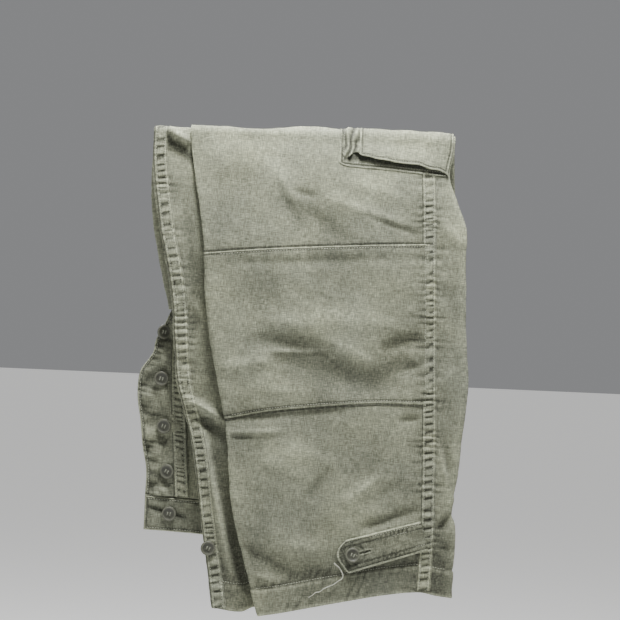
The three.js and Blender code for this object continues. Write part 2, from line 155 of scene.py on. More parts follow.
LEFT = make_leg(
    "left",
    outer=fanned(9.6, 34),
    inner=fanned(8.1, 24),
    front=curve((-404, -152), (-290, -160), (-200, -138), (0, -127), (100, -110), (206, -98), (314, -75),
                (400, -65), (447, -55), (530, -31)),
    back=curve((-404, 158), (-300, 170), (-150, 174), (-20, 167), (8, 165), (37, 161), (66, 171), (95, 181),
               (136, 182), (215, 186), (268, 190), (325, 186), (363, 183), (400, 178), (422, 182),
               (500, 184)),
    outseam=curve((-404, 35), (-300, 85), (-190, 110), (0, 135), (138, 142), (410, 152), (500, 150)),
    inseam=curve((-460, 102), (-404, 88), (-300, -20), (-200, -124), (0, -118), (100, -102), (345, -60),
                 (530, -18)),
    hem=curve((-31, 528), (-4, 523), (68, 507), (112, 498), (146, 494), (165, 497), (184, 499)),
)
RIGHT = make_leg(
    "right",
    outer=fanned(5.1, 9),
    inner=fanned(6.6, 17),
    front=curve((-404, -127), (-300, -134), (-200, -143), (-165, -152), (-84, -168), (0, -168), (48, -167),
                (94, -159), (138, -148), (185, -139), (229, -135), (273, -130), (302, -122), (349, -109),
                (426, -97), (522, -81)),
    back=curve((-404, 148), (-300, 156), (-150, 152), (0, 128), (150, 140), (270, 143), (525, 135)),
    outseam=curve((-404, 30), (-300, 80), (-190, 100), (0, 92), (150, 104), (410, 106), (525, 100)),
    inseam=curve((-460, 102), (-404, 88), (-300, -20), (-200, -128), (0, -160), (94, -150), (185, -132),
                 (273, -124), (302, -116), (375, -99), (525, -74)),
    hem=curve((-81, 522), (-49, 525), (-34, 519), (135, 491)),
)
LEGS = {"left": LEFT, "right": RIGHT}

waist_seam = curve((-165, 404), (-100, 407), (0, 416), (160, 424))
patch_top = curve((-110, 132), (-36, 124), (52, 117), (135, 112))
patch_bottom = curve((-130, 322), (-75, 313), (-29, 303), (30, 295), (89, 289), (140, 288))


# ---- Irregularity: everything that looks random comes from these seeded waves ----
# A seed is any number, and each use has its own.

def noise(x, q, wavelength, seed):
    """Smooth irregular waves of about one wavelength, mostly between -1 and 1."""
    random = np.random.default_rng(seed)
    total = 0.0
    for _ in range(8):
        angle, phase = random.uniform(0, 2 * np.pi, 2)
        length = wavelength * random.uniform(0.65, 1.6)
        total = total + np.sin(2 * np.pi * (x * np.cos(angle) + q * np.sin(angle)) / length + phase)
    return total / 3


def creases(x, q, wavelength, seed):
    """Sparse narrow creases along winding lines: 0 between them and -1 in them."""
    line = noise(x, q, wavelength, seed)
    present = smooth(1.4 * noise(x, q, 2.3 * wavelength, seed + 1))
    return -present * bell(line, 0.17)


def pucker(along, distance, seed, pitch=9.5, reach=9.0):
    """Short folds that run square off a shrunken line of stitching: 0 on a ridge and -1 in a valley."""
    drift = 0.8 * noise(along, 0 * along, 70, seed)
    strength = 0.62 + 0.38 * noise(along, 0 * along, 34, seed + 1)
    length = reach * (1 + 0.5 * noise(along, 0 * along, 21, seed + 2))
    wave = 0.5 - 0.5 * np.cos(2 * np.pi * (along / pitch + drift))
    return -strength * wave ** 1.6 * np.exp(-(np.abs(distance) / np.maximum(length, 2)) ** 1.5)


def fold(x, z, start, end, height, width, bow=0.0):
    """A soft ridge, or a valley if height is negative, that fades towards both of its ends."""
    (x0, z0), (x1, z1) = start, end
    length = math.hypot(x1 - x0, z1 - z0)
    ux, uz = (x1 - x0) / length, (z1 - z0) / length
    t = ((x - x0) * ux + (z - z0) * uz) / length
    inside = np.clip(t, 0.0, 1.0)
    across = (z - z0) * ux - (x - x0) * uz - bow * 4 * inside * (1 - inside)
    return FOLD_DEPTH * height * np.sin(np.pi * inside) ** 0.8 * np.exp(-np.abs(across / width) ** 1.6)


# Folds as (start, end, height, width, bow), with places as (x, z) down a drape.
LEFT_FRONT_FOLDS = [
    # Across the knee patch
    ((-96, -143), (132, -128), -0.7, 6, 0),
    ((-76, -205), (135, -196), 1.1, 16, -3),
    ((-50, -222), (40, -243), -1.9, 9, 3),
    ((-36, -237), (38, -235), 1.1, 3, 0),
    ((-30, -246), (104, -277), -2.5, 12, 4),
    ((78, -280), (124, -236), -2.2, 12, 0),
    ((92, -233), (140, -215), -2.3, 7, 2),
    ((108, -255), (141, -244), -1.2, 5, 0),
    ((-82, -257), (-26, -246), 1.1, 9, 0),
    ((22, -217), (91, -248), 0.7, 10, 0),
    ((-64, -276), (25, -285), 0.6, 9, 0),
    # Above it
    ((-46, -21), (0, -85), 1.0, 9, 3),
    ((-28, -50), (4, -106), -0.9, 8, -3),
    ((-17, -56), (20, -65), -0.8, 4, -2),
    ((15, -60), (133, -96), 0.8, 7, -2),
    ((-18, -69), (60, -116), -1.1, 12, 0),
    ((69, -82), (135, -103), -0.8, 4, -2),
    ((-104, -49), (-45, -49), -1.0, 18, 0),
    ((44, -43), (126, -67), 0.6, 9, 0),
    # Below it
    ((-75, -314), (-2, -305), -1.7, 6, 0),
    ((-12, -306), (59, -299), -1.0, 5, 0),
    ((-73, -329), (-6, -324), 0.9, 3, 0),
    ((-68, -333), (-42, -331), -1.0, 2.6, 0),
    ((113, -307), (142, -304), -1.0, 4, 0),
    ((-35, -366), (27, -340), 0.7, 12, 0),
    ((20, -400), (43, -360), -1.0, 8, 0),
    ((58, -404), (102, -364), 1.1, 7, 0),
    ((89, -401), (126, -370), -0.6, 8, 0),
    ((-23, -446), (56, -455), 1.0, 13, 0),
    ((-55, -454), (-16, -470), -1.4, 6, 0),
    ((-27, -466), (12, -485), -1.6, 7, 0),
    ((-3, -484), (59, -482), -1.6, 7, 0),
    ((-44, -482), (-2, -492), 0.9, 5, 0),
    ((71, -431), (146, -402), -1.5, 5, 0),
    ((7, -504), (58, -504), -0.8, 3, 0),
    # Behind the outseam
    ((159, -324), (182, -403), 1.2, 3.5, -2),
    ((167, -328), (179, -391), -1.2, 4, 0),
    ((163, -426), (184, -404), -2.2, 4, 0),
    ((166, -444), (184, -448), -1.0, 4, 0),
    ((146, -79), (182, -115), 0.8, 6, 0),
    ((157, -152), (185, -210), -0.7, 8, 0),
    ((156, -271), (180, -244), 0.6, 8, 0),
]
RIGHT_INNER_FOLDS = [
    ((-124, -292), (-70, -320), 3.2, 4.5, 2),
    ((-112, -312), (-70, -334), -2.6, 6, 0),
    ((-104, -306), (-56, -500), 3.4, 6, -2),
    ((-92, -330), (-42, -505), -3.2, 7, 0),
    ((-134, -60), (-112, -230), -1.6, 7, 3),
    ((-150, -240), (-108, -262), -1.0, 5, 0),
    ((-128, -170), (-100, -210), 1.2, 6, 0),
]
RIGHT_OUTER_BACK_FOLDS = [
    ((-150, -196), (-122, -236), 1.8, 5, 3),
    ((-146, -212), (-118, -262), -1.4, 6, 0),
]
LEFT_OUTER_BACK_FOLDS = [
    ((-140, -60), (-20, -130), -2.0, 12, 5),
    ((-120, -40), (20, -100), 1.6, 11, 4),
    ((-150, -210), (-60, -160), 1.8, 12, 5),
    ((-140, -240), (-40, -210), -2.0, 9, 3),
    ((60, -210), (166, -260), 1.5, 10, 0),
    ((-30, -250), (90, -232), -1.5, 10, 4),
    ((100, -320), (166, -300), -1.2, 8, 0),
]


def sum_folds(folds, x, z):
    total = 0.0
    for start, end, height, width, bow in folds:
        total = total + fold(x, z, start, end, height, width, bow)
    return total


def run_of(leg, q):
    return np.sign(q) * np.maximum(np.abs(q) - leg.half, 0.0)


def front_shape(x, z):
    """The outermost front stands off the bar at once, except at its edges, and tucks in towards the hem."""
    shoulder = 12 * (1 - np.exp(z / 26)) * (1 - smooth((-z - 30) / 110))
    inside = smooth((x - LEFT.front(-z)) / 40) * smooth((LEFT.back(-z) - x) / 40)
    return shoulder * inside - 6 * smooth((-z - 425) / 85)


def crown_pouch(x, q):
    """Spare cloth of the inner leg bunches over the bar: (a pouch, the hollow below it)."""
    across = x + 149
    ends = smooth((x + 156) / 7) * smooth((-126 - x) / 5)
    pouch = bell(q - 9 - 0.4 * across, 5) * ends
    hollow = bell(q - 20 - 0.6 * across, 6.5) * smooth((x + 155) / 5) * smooth((-117 - x) / 5)
    return pouch, hollow


PRESSED = 0.42  # share of the slow waves left on the front, which is pressed flatter than the back
HOLLOW_SHARE = {  # how deep a fold may sink, as a share of the room inside the leg
    ("left", "outer"): 0.65, ("right", "outer"): 0.65, ("left", "inner"): 0.25, ("right", "inner"): 0.45,
}


def broad_relief(leg, face, x, q):
    """The slow waves and the larger folds of a hanging face."""
    run = run_of(leg, q)
    z = -np.abs(run)
    seed = 10 * leg.outward + (3 if face == "outer" else 5) + 50
    loose = 0.25 + 0.75 * smooth(np.abs(run) / FAN)
    room = np.abs(leg.outer(run) - leg.inner(run)) * HOLLOW_SHARE[leg.side, face]
    waves = 1.9 * noise(x, 0.7 * q, 85, seed)
    waves = waves + 0.75 * noise(x, q, 33, seed + 1) + 0.22 * noise(x, q, 13, seed + 2)
    waves = waves + 0.9 * creases(x, q, 75, seed + 4) + 0.45 * creases(x, q, 38, seed + 6)
    front, back, amount = 0.0, 0.0, 0.55
    if leg.side == "left" and face == "outer":
        front = sum_folds(LEFT_FRONT_FOLDS, x, z) + front_shape(x, z)
        back = sum_folds(LEFT_OUTER_BACK_FOLDS, x, z)
        crown = 1.6 * bell(x - 12, 34) - 1.9 * bell(x + 58, 15)
        waves = waves + crown * bell(q, 20) / (PRESSED * loose)
        near_flap = bell(run + FLAP.hinge, 16)
        amount = np.where(q > 0, PRESSED, 1.0) * (1 - near_flap)
    if leg.side == "right" and face == "inner":
        front = sum_folds(RIGHT_INNER_FOLDS, x, z)
    if leg.side == "right" and face == "outer":
        back = sum_folds(RIGHT_OUTER_BACK_FOLDS, x, z)
    total = amount * loose * waves + np.where(q > 0, front, back) * smooth(np.abs(q) / 30)
    if leg.side == "right" and face == "inner":
        pouch, hollow = crown_pouch(x, q)
        total = total + 7 * pouch - 7 * hollow
    return np.where(total < 0, room * np.tanh(total / room), total)


def seam_relief(leg, face, x, q):
    """The small puckers beside the stitching: 0 between them and negative in them."""
    run = run_of(leg, q)
    seed = 300 + 10 * leg.outward + (1 if face == "outer" else 2)
    seam = leg.outseam(run) if face == "outer" else leg.inseam(run)
    away = np.maximum(np.abs(x - seam) - SEAM_WIDTH / 2, 0.0)
    total = 1.25 * pucker(q, away, seed, 8.5)
    if face == "outer" or leg.side == "right":
        for k, edge in enumerate((patch_top, patch_bottom)):
            total = total + 0.5 * pucker(x, run - edge(x), seed + 20 * (k + 1), 8.0, 6.0)
    total = total + 0.8 * pucker(x + 0.35 * run, run - leg.hem(x) + HEM, seed + 70, 8.5, 8.0)
    total = total + 0.5 * pucker(x + 0.5 * run, run - leg.hem(x) + 3, seed + 90, 12.0, 9.0)
    return total


def relief(leg, face, x, q):
    """(how far a face stands out from its even drape, its wear and painted shading: from -1, painted shade in
    a recess, to 1, pale wear and painted light on a ridge).
    """
    run = run_of(leg, q)
    fine = seam_relief(leg, face, x, q)
    loose = 0.4 + 0.6 * smooth(np.abs(run) / 60)
    past_hem = run - leg.hem(x) + HEM
    hem_band = 1.1 * smooth(past_hem / 2.5)
    groove = -0.6 * bell(past_hem, 1.5)
    broad = broad_relief(leg, face, x, q)
    rim = bell(run - leg.hem(x), 2.0) + 0.6 * bell(past_hem - 3.6, 1.8)
    # Paler near the crown as painted light, with some wear there too, and painted shade towards the hem.
    tone_shift = 0.45 * np.exp(-np.abs(run) / 34) - 0.55 * smooth((run - 410) / 90)
    folded = broad
    if leg.side == "left" and face == "outer":
        # The lower back strip is painted darker, as shade.
        tone_shift = tone_shift - 0.35 * smooth((x - 150) / 15) * smooth((run - 390) / 40)
        folded = broad - np.where(q > 0, front_shape(x, -np.abs(run)), 0)
    if leg.side == "right" and face == "inner":
        # Painted shade in the hollow below the pouch.
        tone_shift = tone_shift - 1.5 * crown_pouch(x, q)[1]
    # Painted light on fold ridges and painted shade in fold valleys.
    folded = FOLD_SHADING_MOST * np.tanh(FOLD_SHADING * folded / FOLD_SHADING_MOST)
    # Painted shade in the puckers and in the hem's needle groove; the hem's edge is paler with wear.
    wear_and_shading = np.clip(1.1 * fine + 1.8 * groove + rim + folded + tone_shift, -1, 1)
    return broad + loose * (0.9 * fine + groove) + hem_band, wear_and_shading


# ---- Places on the cloth ----

def hang(leg, x, lift, q):
    """Points of cloth, and the directions that lead square away from the bar there."""
    x, lift, q = np.broadcast_arrays(x, lift, q)
    angle = np.pi / 2 * (1 + np.clip(q / leg.half, -1, 1))
    drop = np.maximum(np.abs(q) - leg.half, 0.0)
    away = np.stack([0 * angle, np.cos(angle), np.sin(angle)], -1)
    points = np.stack([x, lift * np.cos(angle), lift * np.sin(angle) - drop + AXIS_Z], -1)
    return points, away


def face_sign(leg, face):
    return leg.outward if face == "outer" else -leg.outward


def on_face(leg, face, x, q, out=0.0, fine=True, under=False):
    """(points, directions out of the cloth) on a leg's face, out millimetres above its surface.

    Without fine, the place ignores the small puckers. With under, it is on the ply's other side.
    """
    run = run_of(leg, q)
    lift = leg.outer(run) if face == "outer" else leg.inner(run)
    sign = face_sign(leg, face)
    height = relief(leg, face, x, q)[0] if fine else broad_relief(leg, face, x, q)
    above = -CLOTH / 2 - out if under else CLOTH / 2 + out
    points, away = hang(leg, x, lift + sign * (height + above), q)
    return points, (-sign if under else sign) * away


def down(leg, run):
    """q at a signed run."""
    return np.sign(run) * (np.abs(run) + leg.half)


def panel_points(leg, edge, c, q, out=0.0):
    """Points over a front (edge -1) or back (edge 1) panel, their outward directions and their wear and
    painted shading.

    c runs from 0 to 1 over the outer face, on to 2 round the fold edge and on to 3 over the inner face.
    """
    run = run_of(leg, q)
    seam, outer, inner = leg.outseam(run), leg.outer(run), leg.inner(run)
    crease = leg.front(run) if edge < 0 else leg.back(run)
    closed = smooth((run + CROTCH + 30) / 30) if edge < 0 else 1.0
    tip = TIP * np.abs(outer - inner) / 2 * closed
    turn = np.pi * np.clip(c - 1, 0, 1)
    near = crease - edge * tip
    end = inner_end(leg, edge, run, near)
    across = np.where(c < 1, mix(seam, near, c), mix(near, end, c - 2))
    x = np.where((c >= 1) & (c <= 2), crease - edge * tip * (1 - np.sin(turn)), across)
    lift = mix(outer, inner, (1 - np.cos(turn)) / 2)
    if edge > 0:
        middle = (LEFT.inner(CROTCH) + RIGHT.inner(CROTCH)) / 2 + leg.outward * (CLOTH + GAP) / 2
        lift = mix(lift, middle, smooth((c - 2.4) / 0.6) * smooth((-run - CROTCH) / 40))
    outer_height, outer_wear_and_shading = relief(leg, "outer", x, q)
    inner_height, inner_wear_and_shading = relief(leg, "inner", x, q)
    share = (1 - np.cos(turn)) / 2
    height = CLOTH / 2 + out + mix(outer_height, inner_height, share)
    points, away = hang(leg, x + edge * np.sin(turn) * height, lift + leg.outward * np.cos(turn) * height, q)
    sideways = np.stack([edge * np.sin(turn) + 0 * x, 0 * x, 0 * x], -1)
    outward = leg.outward * (np.cos(turn) + 0 * x)[..., None] * away + sideways
    wear_and_shading = mix(outer_wear_and_shading, inner_wear_and_shading, share) + 0.5 * np.sin(turn) * closed
    return points, outward, np.clip(wear_and_shading, -1, 1), np.stack([x, q + 0 * x], -1)


def inner_end(leg, edge, run, near):
    """x where a panel stops on the inner face: the inseam, kept clear of the front fold edge."""
    if edge > 0:
        return np.maximum(leg.inseam(run), leg.front(run) + 4)
    return np.maximum(leg.inseam(run), near + 1)


# ---- Meshes ----

def cells(rows, columns):
    """The quads of a grid of points."""
    r, c = np.mgrid[0:rows - 1, 0:columns - 1]
    first = (r * columns + c).ravel()
    return np.stack([first, first + 1, first + columns + 1, first + columns], -1)


def facing(points, quads, outward):
    """The quads, turned round if they face the wrong way."""
    a, b, d = points[quads[:, 0]], points[quads[:, 1]], points[quads[:, 3]]
    agreement = np.einsum("ij,ij->", np.cross(b - a, d - a), outward[quads[:, 0]])
    return quads if agreement > 0 else quads[:, ::-1]


def linked(name, data):
    made = bpy.data.objects.new(name, data)
    bpy.context.scene.collection.objects.link(made)
    return made


def set_wear_and_shading(mesh, wear_and_shading):
    values = wear_and_shading.astype(np.float32).ravel()
    mesh.attributes.new("wear_and_shading", "FLOAT", "POINT").data.foreach_set("value", values)


def new_piece(name, points, faces, material, wear_and_shading=None, flat=None):
    """A mesh object. wear_and_shading is the wear and painted shading of each point, and flat is its place on
    the unfolded cloth.
    """
    mesh = bpy.data.meshes.new(name)
    mesh.from_pydata((points * MM).tolist(), [], faces.tolist() if hasattr(faces, "tolist") else faces)
    mesh.polygons.foreach_set("use_smooth", np.ones(len(mesh.polygons), bool))
    if wear_and_shading is not None:
        set_wear_and_shading(mesh, wear_and_shading)
    if flat is not None:
        corners = np.zeros(len(mesh.loops), np.int32)
        mesh.loops.foreach_get("vertex_index", corners)
        places = (flat[corners] * MM).astype(np.float32).ravel()
        mesh.uv_layers.new(name="cloth").data.foreach_set("uv", places)
    mesh.materials.append(material)
    return linked(name, mesh)


def sheet(name, grids, material, thick=CLOTH):
    """One piece of cloth from grids of (points, outward, wear_and_shading, flat), welded where they meet."""
    points, quads, wear_and_shading, flat, count = [], [], [], [], 0
    for grid, outward, shading_and_wear, uv in grids:
        rows, columns = grid.shape[:2]
        flat_points = grid.reshape(-1, 3)
        quads.append(facing(flat_points, cells(rows, columns), outward.reshape(-1, 3)) + count)
        points.append(flat_points)
        wear_and_shading.append(np.clip(np.broadcast_to(shading_and_wear, (rows, columns)), -1, 1).ravel())
        flat.append(np.broadcast_to(uv, (rows, columns, 2)).reshape(-1, 2))
        count += rows * columns
    piece = new_piece(name, np.concatenate(points), np.concatenate(quads), material,
                      np.concatenate(wear_and_shading), np.concatenate(flat))
    if len(grids) > 1:
        weld(piece)
    thicken(piece, thick)
    return piece


def weld(piece):
    made = bmesh.new()
    made.from_mesh(piece.data)
    bmesh.ops.remove_doubles(made, verts=made.verts, dist=0.02 * MM)
    made.to_mesh(piece.data)
    made.free()


def thicken(piece, thick):
    modifier = piece.modifiers.new("ply", "SOLIDIFY")
    modifier.thickness = thick * MM
    modifier.offset = -1


def spaced(start, end, step):
    return np.linspace(start, end, max(int(round(abs(end - start) / step)), 1) + 1)


def joined(*parts):
    """Runs of numbers that share their end values, as one."""
    return np.concatenate([parts[0]] + [part[1:] for part in parts[1:]])


# ---- Materials ----

def shader(name):
    material = bpy.data.materials.new(name)
    material.use_nodes = True
    tree = material.node_tree
    return material, tree, tree.nodes["Principled BSDF"]


def feed(tree, made, inputs):
    """Sets a node's inputs, each to a value or from another node's output."""
    for key, value in inputs.items():
        if isinstance(value, bpy.types.NodeSocket):
            tree.links.new(value, made.inputs[key])
        else:
            made.inputs[key].default_value = value
    return made


def node(tree, kind, inputs=None, **settings):
    made = tree.nodes.new(kind)
    for key, value in settings.items():
        setattr(made, key, value)
    return feed(tree, made, inputs or {})


def combined(tree, a, b, operation="ADD"):
    return node(tree, "ShaderNodeMath", {0: a, 1: b}, operation=operation).outputs[0]


def scaled(tree, vector, scale):
    return node(tree, "ShaderNodeMapping", {"Vector": vector, "Scale": scale}).outputs[0]


def blotches(tree, vector, scale, detail=4.0):
    inputs = {"Vector": vector, "Scale": scale, "Detail": detail}
    return node(tree, "ShaderNodeTexNoise", inputs).outputs["Fac"]


def spread(tree, value, low, high, start=0.3, end=0.7):
    """value stretched from start and end to low and high. Most of a noise lies from 0.3 to 0.7."""
    inputs = {"Value": value, "From Min": start, "From Max": end, "To Min": low, "To Max": high}
    return node(tree, "ShaderNodeMapRange", inputs).outputs[0]


def shaded(tree, colour, shade):
    return node(tree, "ShaderNodeVectorMath", {0: colour, 1: shade}, operation="MULTIPLY").outputs[0]


def bump(tree, height, strength, depth):
    """A surface direction disturbed by a relief of depth millimetres."""
    inputs = {"Height": height, "Strength": strength, "Distance": depth * MM}
    return node(tree, "ShaderNodeBump", inputs).outputs[0]


def wear_and_shading_of(tree):
    return node(tree, "ShaderNodeAttribute", attribute_name="wear_and_shading").outputs["Fac"]


def cloth_material(name, colour, pitch=0.75, fade=1.0):
    """Washed cotton: warp and weft, slubs and mottled fading, with pale worn edges and seams, painted light
    on fold ridges and painted shade in recesses.
    """
    material, tree, surface = shader(name)
    uv = node(tree, "ShaderNodeUVMap", uv_map="cloth").outputs[0]
    count = 1 / (pitch * MM)
    warp = blotches(tree, scaled(tree, uv, (count, 0.12 * count, 1)), 1.0, 1.0)
    weft = blotches(tree, scaled(tree, uv, (0.12 * count, count, 1)), 1.0, 1.0)
    threads = combined(tree, warp, weft, "MULTIPLY")
    lines = [node(tree, "ShaderNodeTexWave", {"Vector": uv, "Scale": 0.31 * count, "Distortion": 0.6},
                  bands_direction=axis).outputs["Fac"] for axis in "XY"]
    weave = combined(tree, *lines, "MAXIMUM")
    long_warp = blotches(tree, scaled(tree, uv, (420, 60, 1)), 1.0)
    long_weft = blotches(tree, scaled(tree, uv, (60, 420, 1)), 1.0)
    slub = combined(tree, long_warp, long_weft, "MULTIPLY")
    cloudy = blotches(tree, uv, 13.0)
    patchy = blotches(tree, uv, 50.0, 6.0)
    speckled = blotches(tree, uv, 170.0)
    uneven = spread(tree, blotches(tree, uv, 420.0, 2.0), 0.6, 1.25)
    # Real wear together with painted light and shade: from 0.28 times the colour in a recess to 1.72 times on
    # a ridge.
    ragged_wear_and_shading = combined(tree, wear_and_shading_of(tree), uneven, "MULTIPLY")
    shades = [
        spread(tree, cloudy, 1 - 0.14 * fade, 1 + 0.14 * fade),
        spread(tree, patchy, 1 - 0.07 * fade, 1 + 0.07 * fade),
        spread(tree, speckled, 1 - 0.05 * fade, 1 + 0.05 * fade),
        spread(tree, threads, 0.56, 1.44, 0.12, 0.42),
        spread(tree, slub, 0.84, 1.16, 0.15, 0.36),
        spread(tree, ragged_wear_and_shading, 0.28, 1.72, -1.0, 1.0),
    ]
    shade = shades[0]
    for other in shades[1:]:
        shade = combined(tree, shade, other, "MULTIPLY")
    tone_shift = (colour[0] * 1.03, colour[1] * 1.02, colour[2] * 0.95, 1)
    tint = node(tree, "ShaderNodeMix", {0: spread(tree, cloudy, 0.0, 1.0), 6: (*colour, 1), 7: tone_shift},
                data_type="RGBA").outputs[2]
    height = combined(tree, combined(tree, weave, 0.5, "MULTIPLY"), combined(tree, threads, 2.2, "MULTIPLY"))
    feed(tree, surface, {
        "Base Color": shaded(tree, tint, shade),
        "Roughness": spread(tree, patchy, 0.82, 0.96),
        "Normal": bump(tree, height, 0.8, 0.35),
        "Sheen Weight": 0.12,
        "Sheen Roughness": 0.6,
        "Specular IOR Level": 0.22,
    })
    return material


def button_material(name, colour):
    """Dull moulded plastic, cloudy inside, rubbed paler on its rim with a painted highlight there too, and
    painted darker in its dish as shade.
    """
    material, tree, surface = shader(name)
    place = node(tree, "ShaderNodeTexCoord").outputs["Object"]
    cloudy = blotches(tree, place, 260.0, 5.0)
    scratches = blotches(tree, scaled(tree, place, (4000, 500, 900)), 1.0, 2.0)
    shade = combined(tree, spread(tree, cloudy, 0.75, 1.25), combined(tree, wear_and_shading_of(tree), 1.0), "MULTIPLY")
    feed(tree, surface, {
        "Base Color": shaded(tree, colour, shade),
        "Roughness": spread(tree, scratches, 0.38, 0.62),
        "Normal": bump(tree, scratches, 0.25, 0.05),
    })
    return material


def thread_material(name, colour):
    """Twisted sewing thread."""
    material, tree, surface = shader(name)
    place = node(tree, "ShaderNodeTexCoord").outputs["Object"]
    twist = node(tree, "ShaderNodeTexWave", {"Vector": place, "Scale": 900.0, "Distortion": 1.0},
                 bands_direction="DIAGONAL").outputs["Fac"]
    tone = spread(tree, blotches(tree, place, 300.0), 0.8, 1.2)
    feed(tree, surface, {
        "Base Color": shaded(tree, colour, tone),
        "Roughness": 0.8,
        "Normal": bump(tree, twist, 0.5, 0.1),
    })
    return material


OLIVE = cloth_material("olive_sateen", (0.236, 0.249, 0.181))
LINING = cloth_material("lining_cotton", (0.240, 0.248, 0.185), pitch=0.5, fade=0.6)
PLASTIC = button_material("button_plastic", (0.077, 0.079, 0.058))
THREAD = thread_material("olive_thread", (0.40, 0.415, 0.32))
BUTTON_THREAD = thread_material("button_thread", (0.27, 0.28, 0.22))
PALE_THREAD = thread_material("pale_thread", (0.52, 0.53, 0.44))


# ---- Moving with the frame ----

def across_fold(piece, leg, *nodes):
    """Cloth that hangs from the hips over the bar and down the leg: its place is baked into its mesh, and the
    CAD parts that it stands for are hidden.
    """
    grip = min(float(leg.outer(0)), float(leg.inner(0))) - CLOTH / 2
    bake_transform(piece)
    return dressed(piece, *nodes)


def riding(piece, body, *nodes, slot="olive_sateen"):
    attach(piece, body)
    return dressed(piece, *nodes, slot=slot)


def dressed(piece, *nodes, slot="olive_sateen"):
    if nodes:
        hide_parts(*nodes)
    return piece


# ---- Stitching ----

def rod(sides=6):
    """One stitch along its own x axis, 1 long and 1 in radius: (points, faces)."""
    stations = [(-0.5, 0.35), (-0.36, 0.9), (0.0, 1.0), (0.36, 0.9), (0.5, 0.35)]
    angles = np.linspace(0, 2 * np.pi, sides, endpoint=False)
    points = [(along, r * math.cos(a), r * math.sin(a)) for along, r in stations for a in angles]
    faces = []
    for k in range(len(stations) - 1):
        for s in range(sides):
            a, b = k * sides + s, k * sides + (s + 1) % sides
            faces.append((a, b, b + sides, a + sides))
    return np.array(points), np.array(faces)


ROD_POINTS, ROD_FACES = rod()


def stitch_frames(points, outward, pitch):
    """Even places along a line of points: (centres, tangents, outward directions)."""
    length = np.concatenate([[0], np.cumsum(np.linalg.norm(np.diff(points, axis=0), axis=1))])
    at = np.arange(pitch / 2, length[-1], pitch)

    def read(values, where):
        return np.stack([np.interp(where, length, values[:, k]) for k in range(3)], -1)

    centre = read(points, at)
    tangent = read(points, at + 0.6) - read(points, at - 0.6)
    tangent /= np.linalg.norm(tangent, axis=1, keepdims=True) + 1e-9
    normal = read(outward, at)
    normal -= np.einsum("ij,ij->i", normal, tangent)[:, None] * tangent
    normal /= np.linalg.norm(normal, axis=1, keepdims=True) + 1e-9
    return centre, tangent, normal


def stitches(name, lines, material=THREAD, pitch=STITCH.pitch, length=STITCH.length, radius=STITCH.radius):
    """One piece that holds every stitch along lines of (points, outward)."""
    random = np.random.default_rng(len(name))
    points, faces, count = [], [], 0
    for line, outward in lines:
        centre, tangent, normal = stitch_frames(line, outward, pitch)
        side = np.cross(tangent, normal)
        size = length * random.uniform(0.88, 1.1, len(centre))
        local = ROD_POINTS[None] * np.stack([size, 0 * size + radius, 0 * size + radius], -1)[:, None]
        placed = centre[:, None] + local[..., :1] * tangent[:, None] + local[..., 1:2] * side[:, None]
        placed = placed + (local[..., 2:] + 0.1) * normal[:, None]
        points.append(placed.reshape(-1, 3))
        offsets = count + len(ROD_POINTS) * np.arange(len(centre))
        faces.append((ROD_FACES[None] + offsets[:, None, None]).reshape(-1, 4))
        count += len(centre) * len(ROD_POINTS)
    return new_piece(name, np.concatenate(points), np.concatenate(faces), material)


# ---- Leg panels ----

LEG_RUN = 500.0  # about the run from the fold to the hem, for even rows
WAIST_RUN = 410  # about the run from the fold to the waist seam
WIDTH_RUN = 250  # where a panel's width is measured, for even columns
LEG_STEP = {"left": FINE, "right": 2.6}

def panel_rows(leg, step):
    """(shares of the way down, outs): the share is -1 at the waist seam, 0 at the bar and 1 at the hem.

    Past the hem the cloth turns under and runs back up inside the leg.
    """
    bend = np.linspace(0, np.pi, 6)[1:]
    fall = np.arange(step, LEG_RUN + 1, step) / LEG_RUN
    turned = 1 + CLOTH * np.sin(bend) / LEG_RUN
    up = 1 - np.linspace(0, HEM - 2, 5)[1:] / LEG_RUN
    share = np.concatenate([-fall[::-1], [0], fall, turned, up])
    inside = np.full(len(up), -2 * CLOTH)
    out = np.concatenate([np.zeros(2 * len(fall) + 1), -CLOTH * (1 - np.cos(bend)), inside])
    return share, out


def row_q(leg, share, x):
    """q of rows at x: they follow the shaped waist and hem."""
    reach = np.where(share < 0, waist_seam(x), leg.hem(x))
    return share * reach


def panel_grid(leg, edge, c, share, out):
    """A grid of panel points for columns c and rows that follow the waist and the hem."""
    crown = np.linspace(-1, 1, 15)[1:-1]
    behind, before = share < 0, share > 0
    rows = np.concatenate([share[behind], [-1e-9], 0 * crown, [1e-9], share[before]])
    bend = np.concatenate([-np.ones(behind.sum() + 1), crown, np.ones(before.sum() + 1)])[:, None]
    outs = np.concatenate([out[behind], [0], 0 * crown, [0], out[before]])
    q = rows[:, None] * LEG_RUN + bend * leg.half
    for _ in range(2):
        x = panel_points(leg, edge, c[None], q)[0][..., 0]
        q = row_q(leg, rows[:, None], x) + bend * leg.half
    return panel_points(leg, edge, c[None], q, outs[:, None]), rows


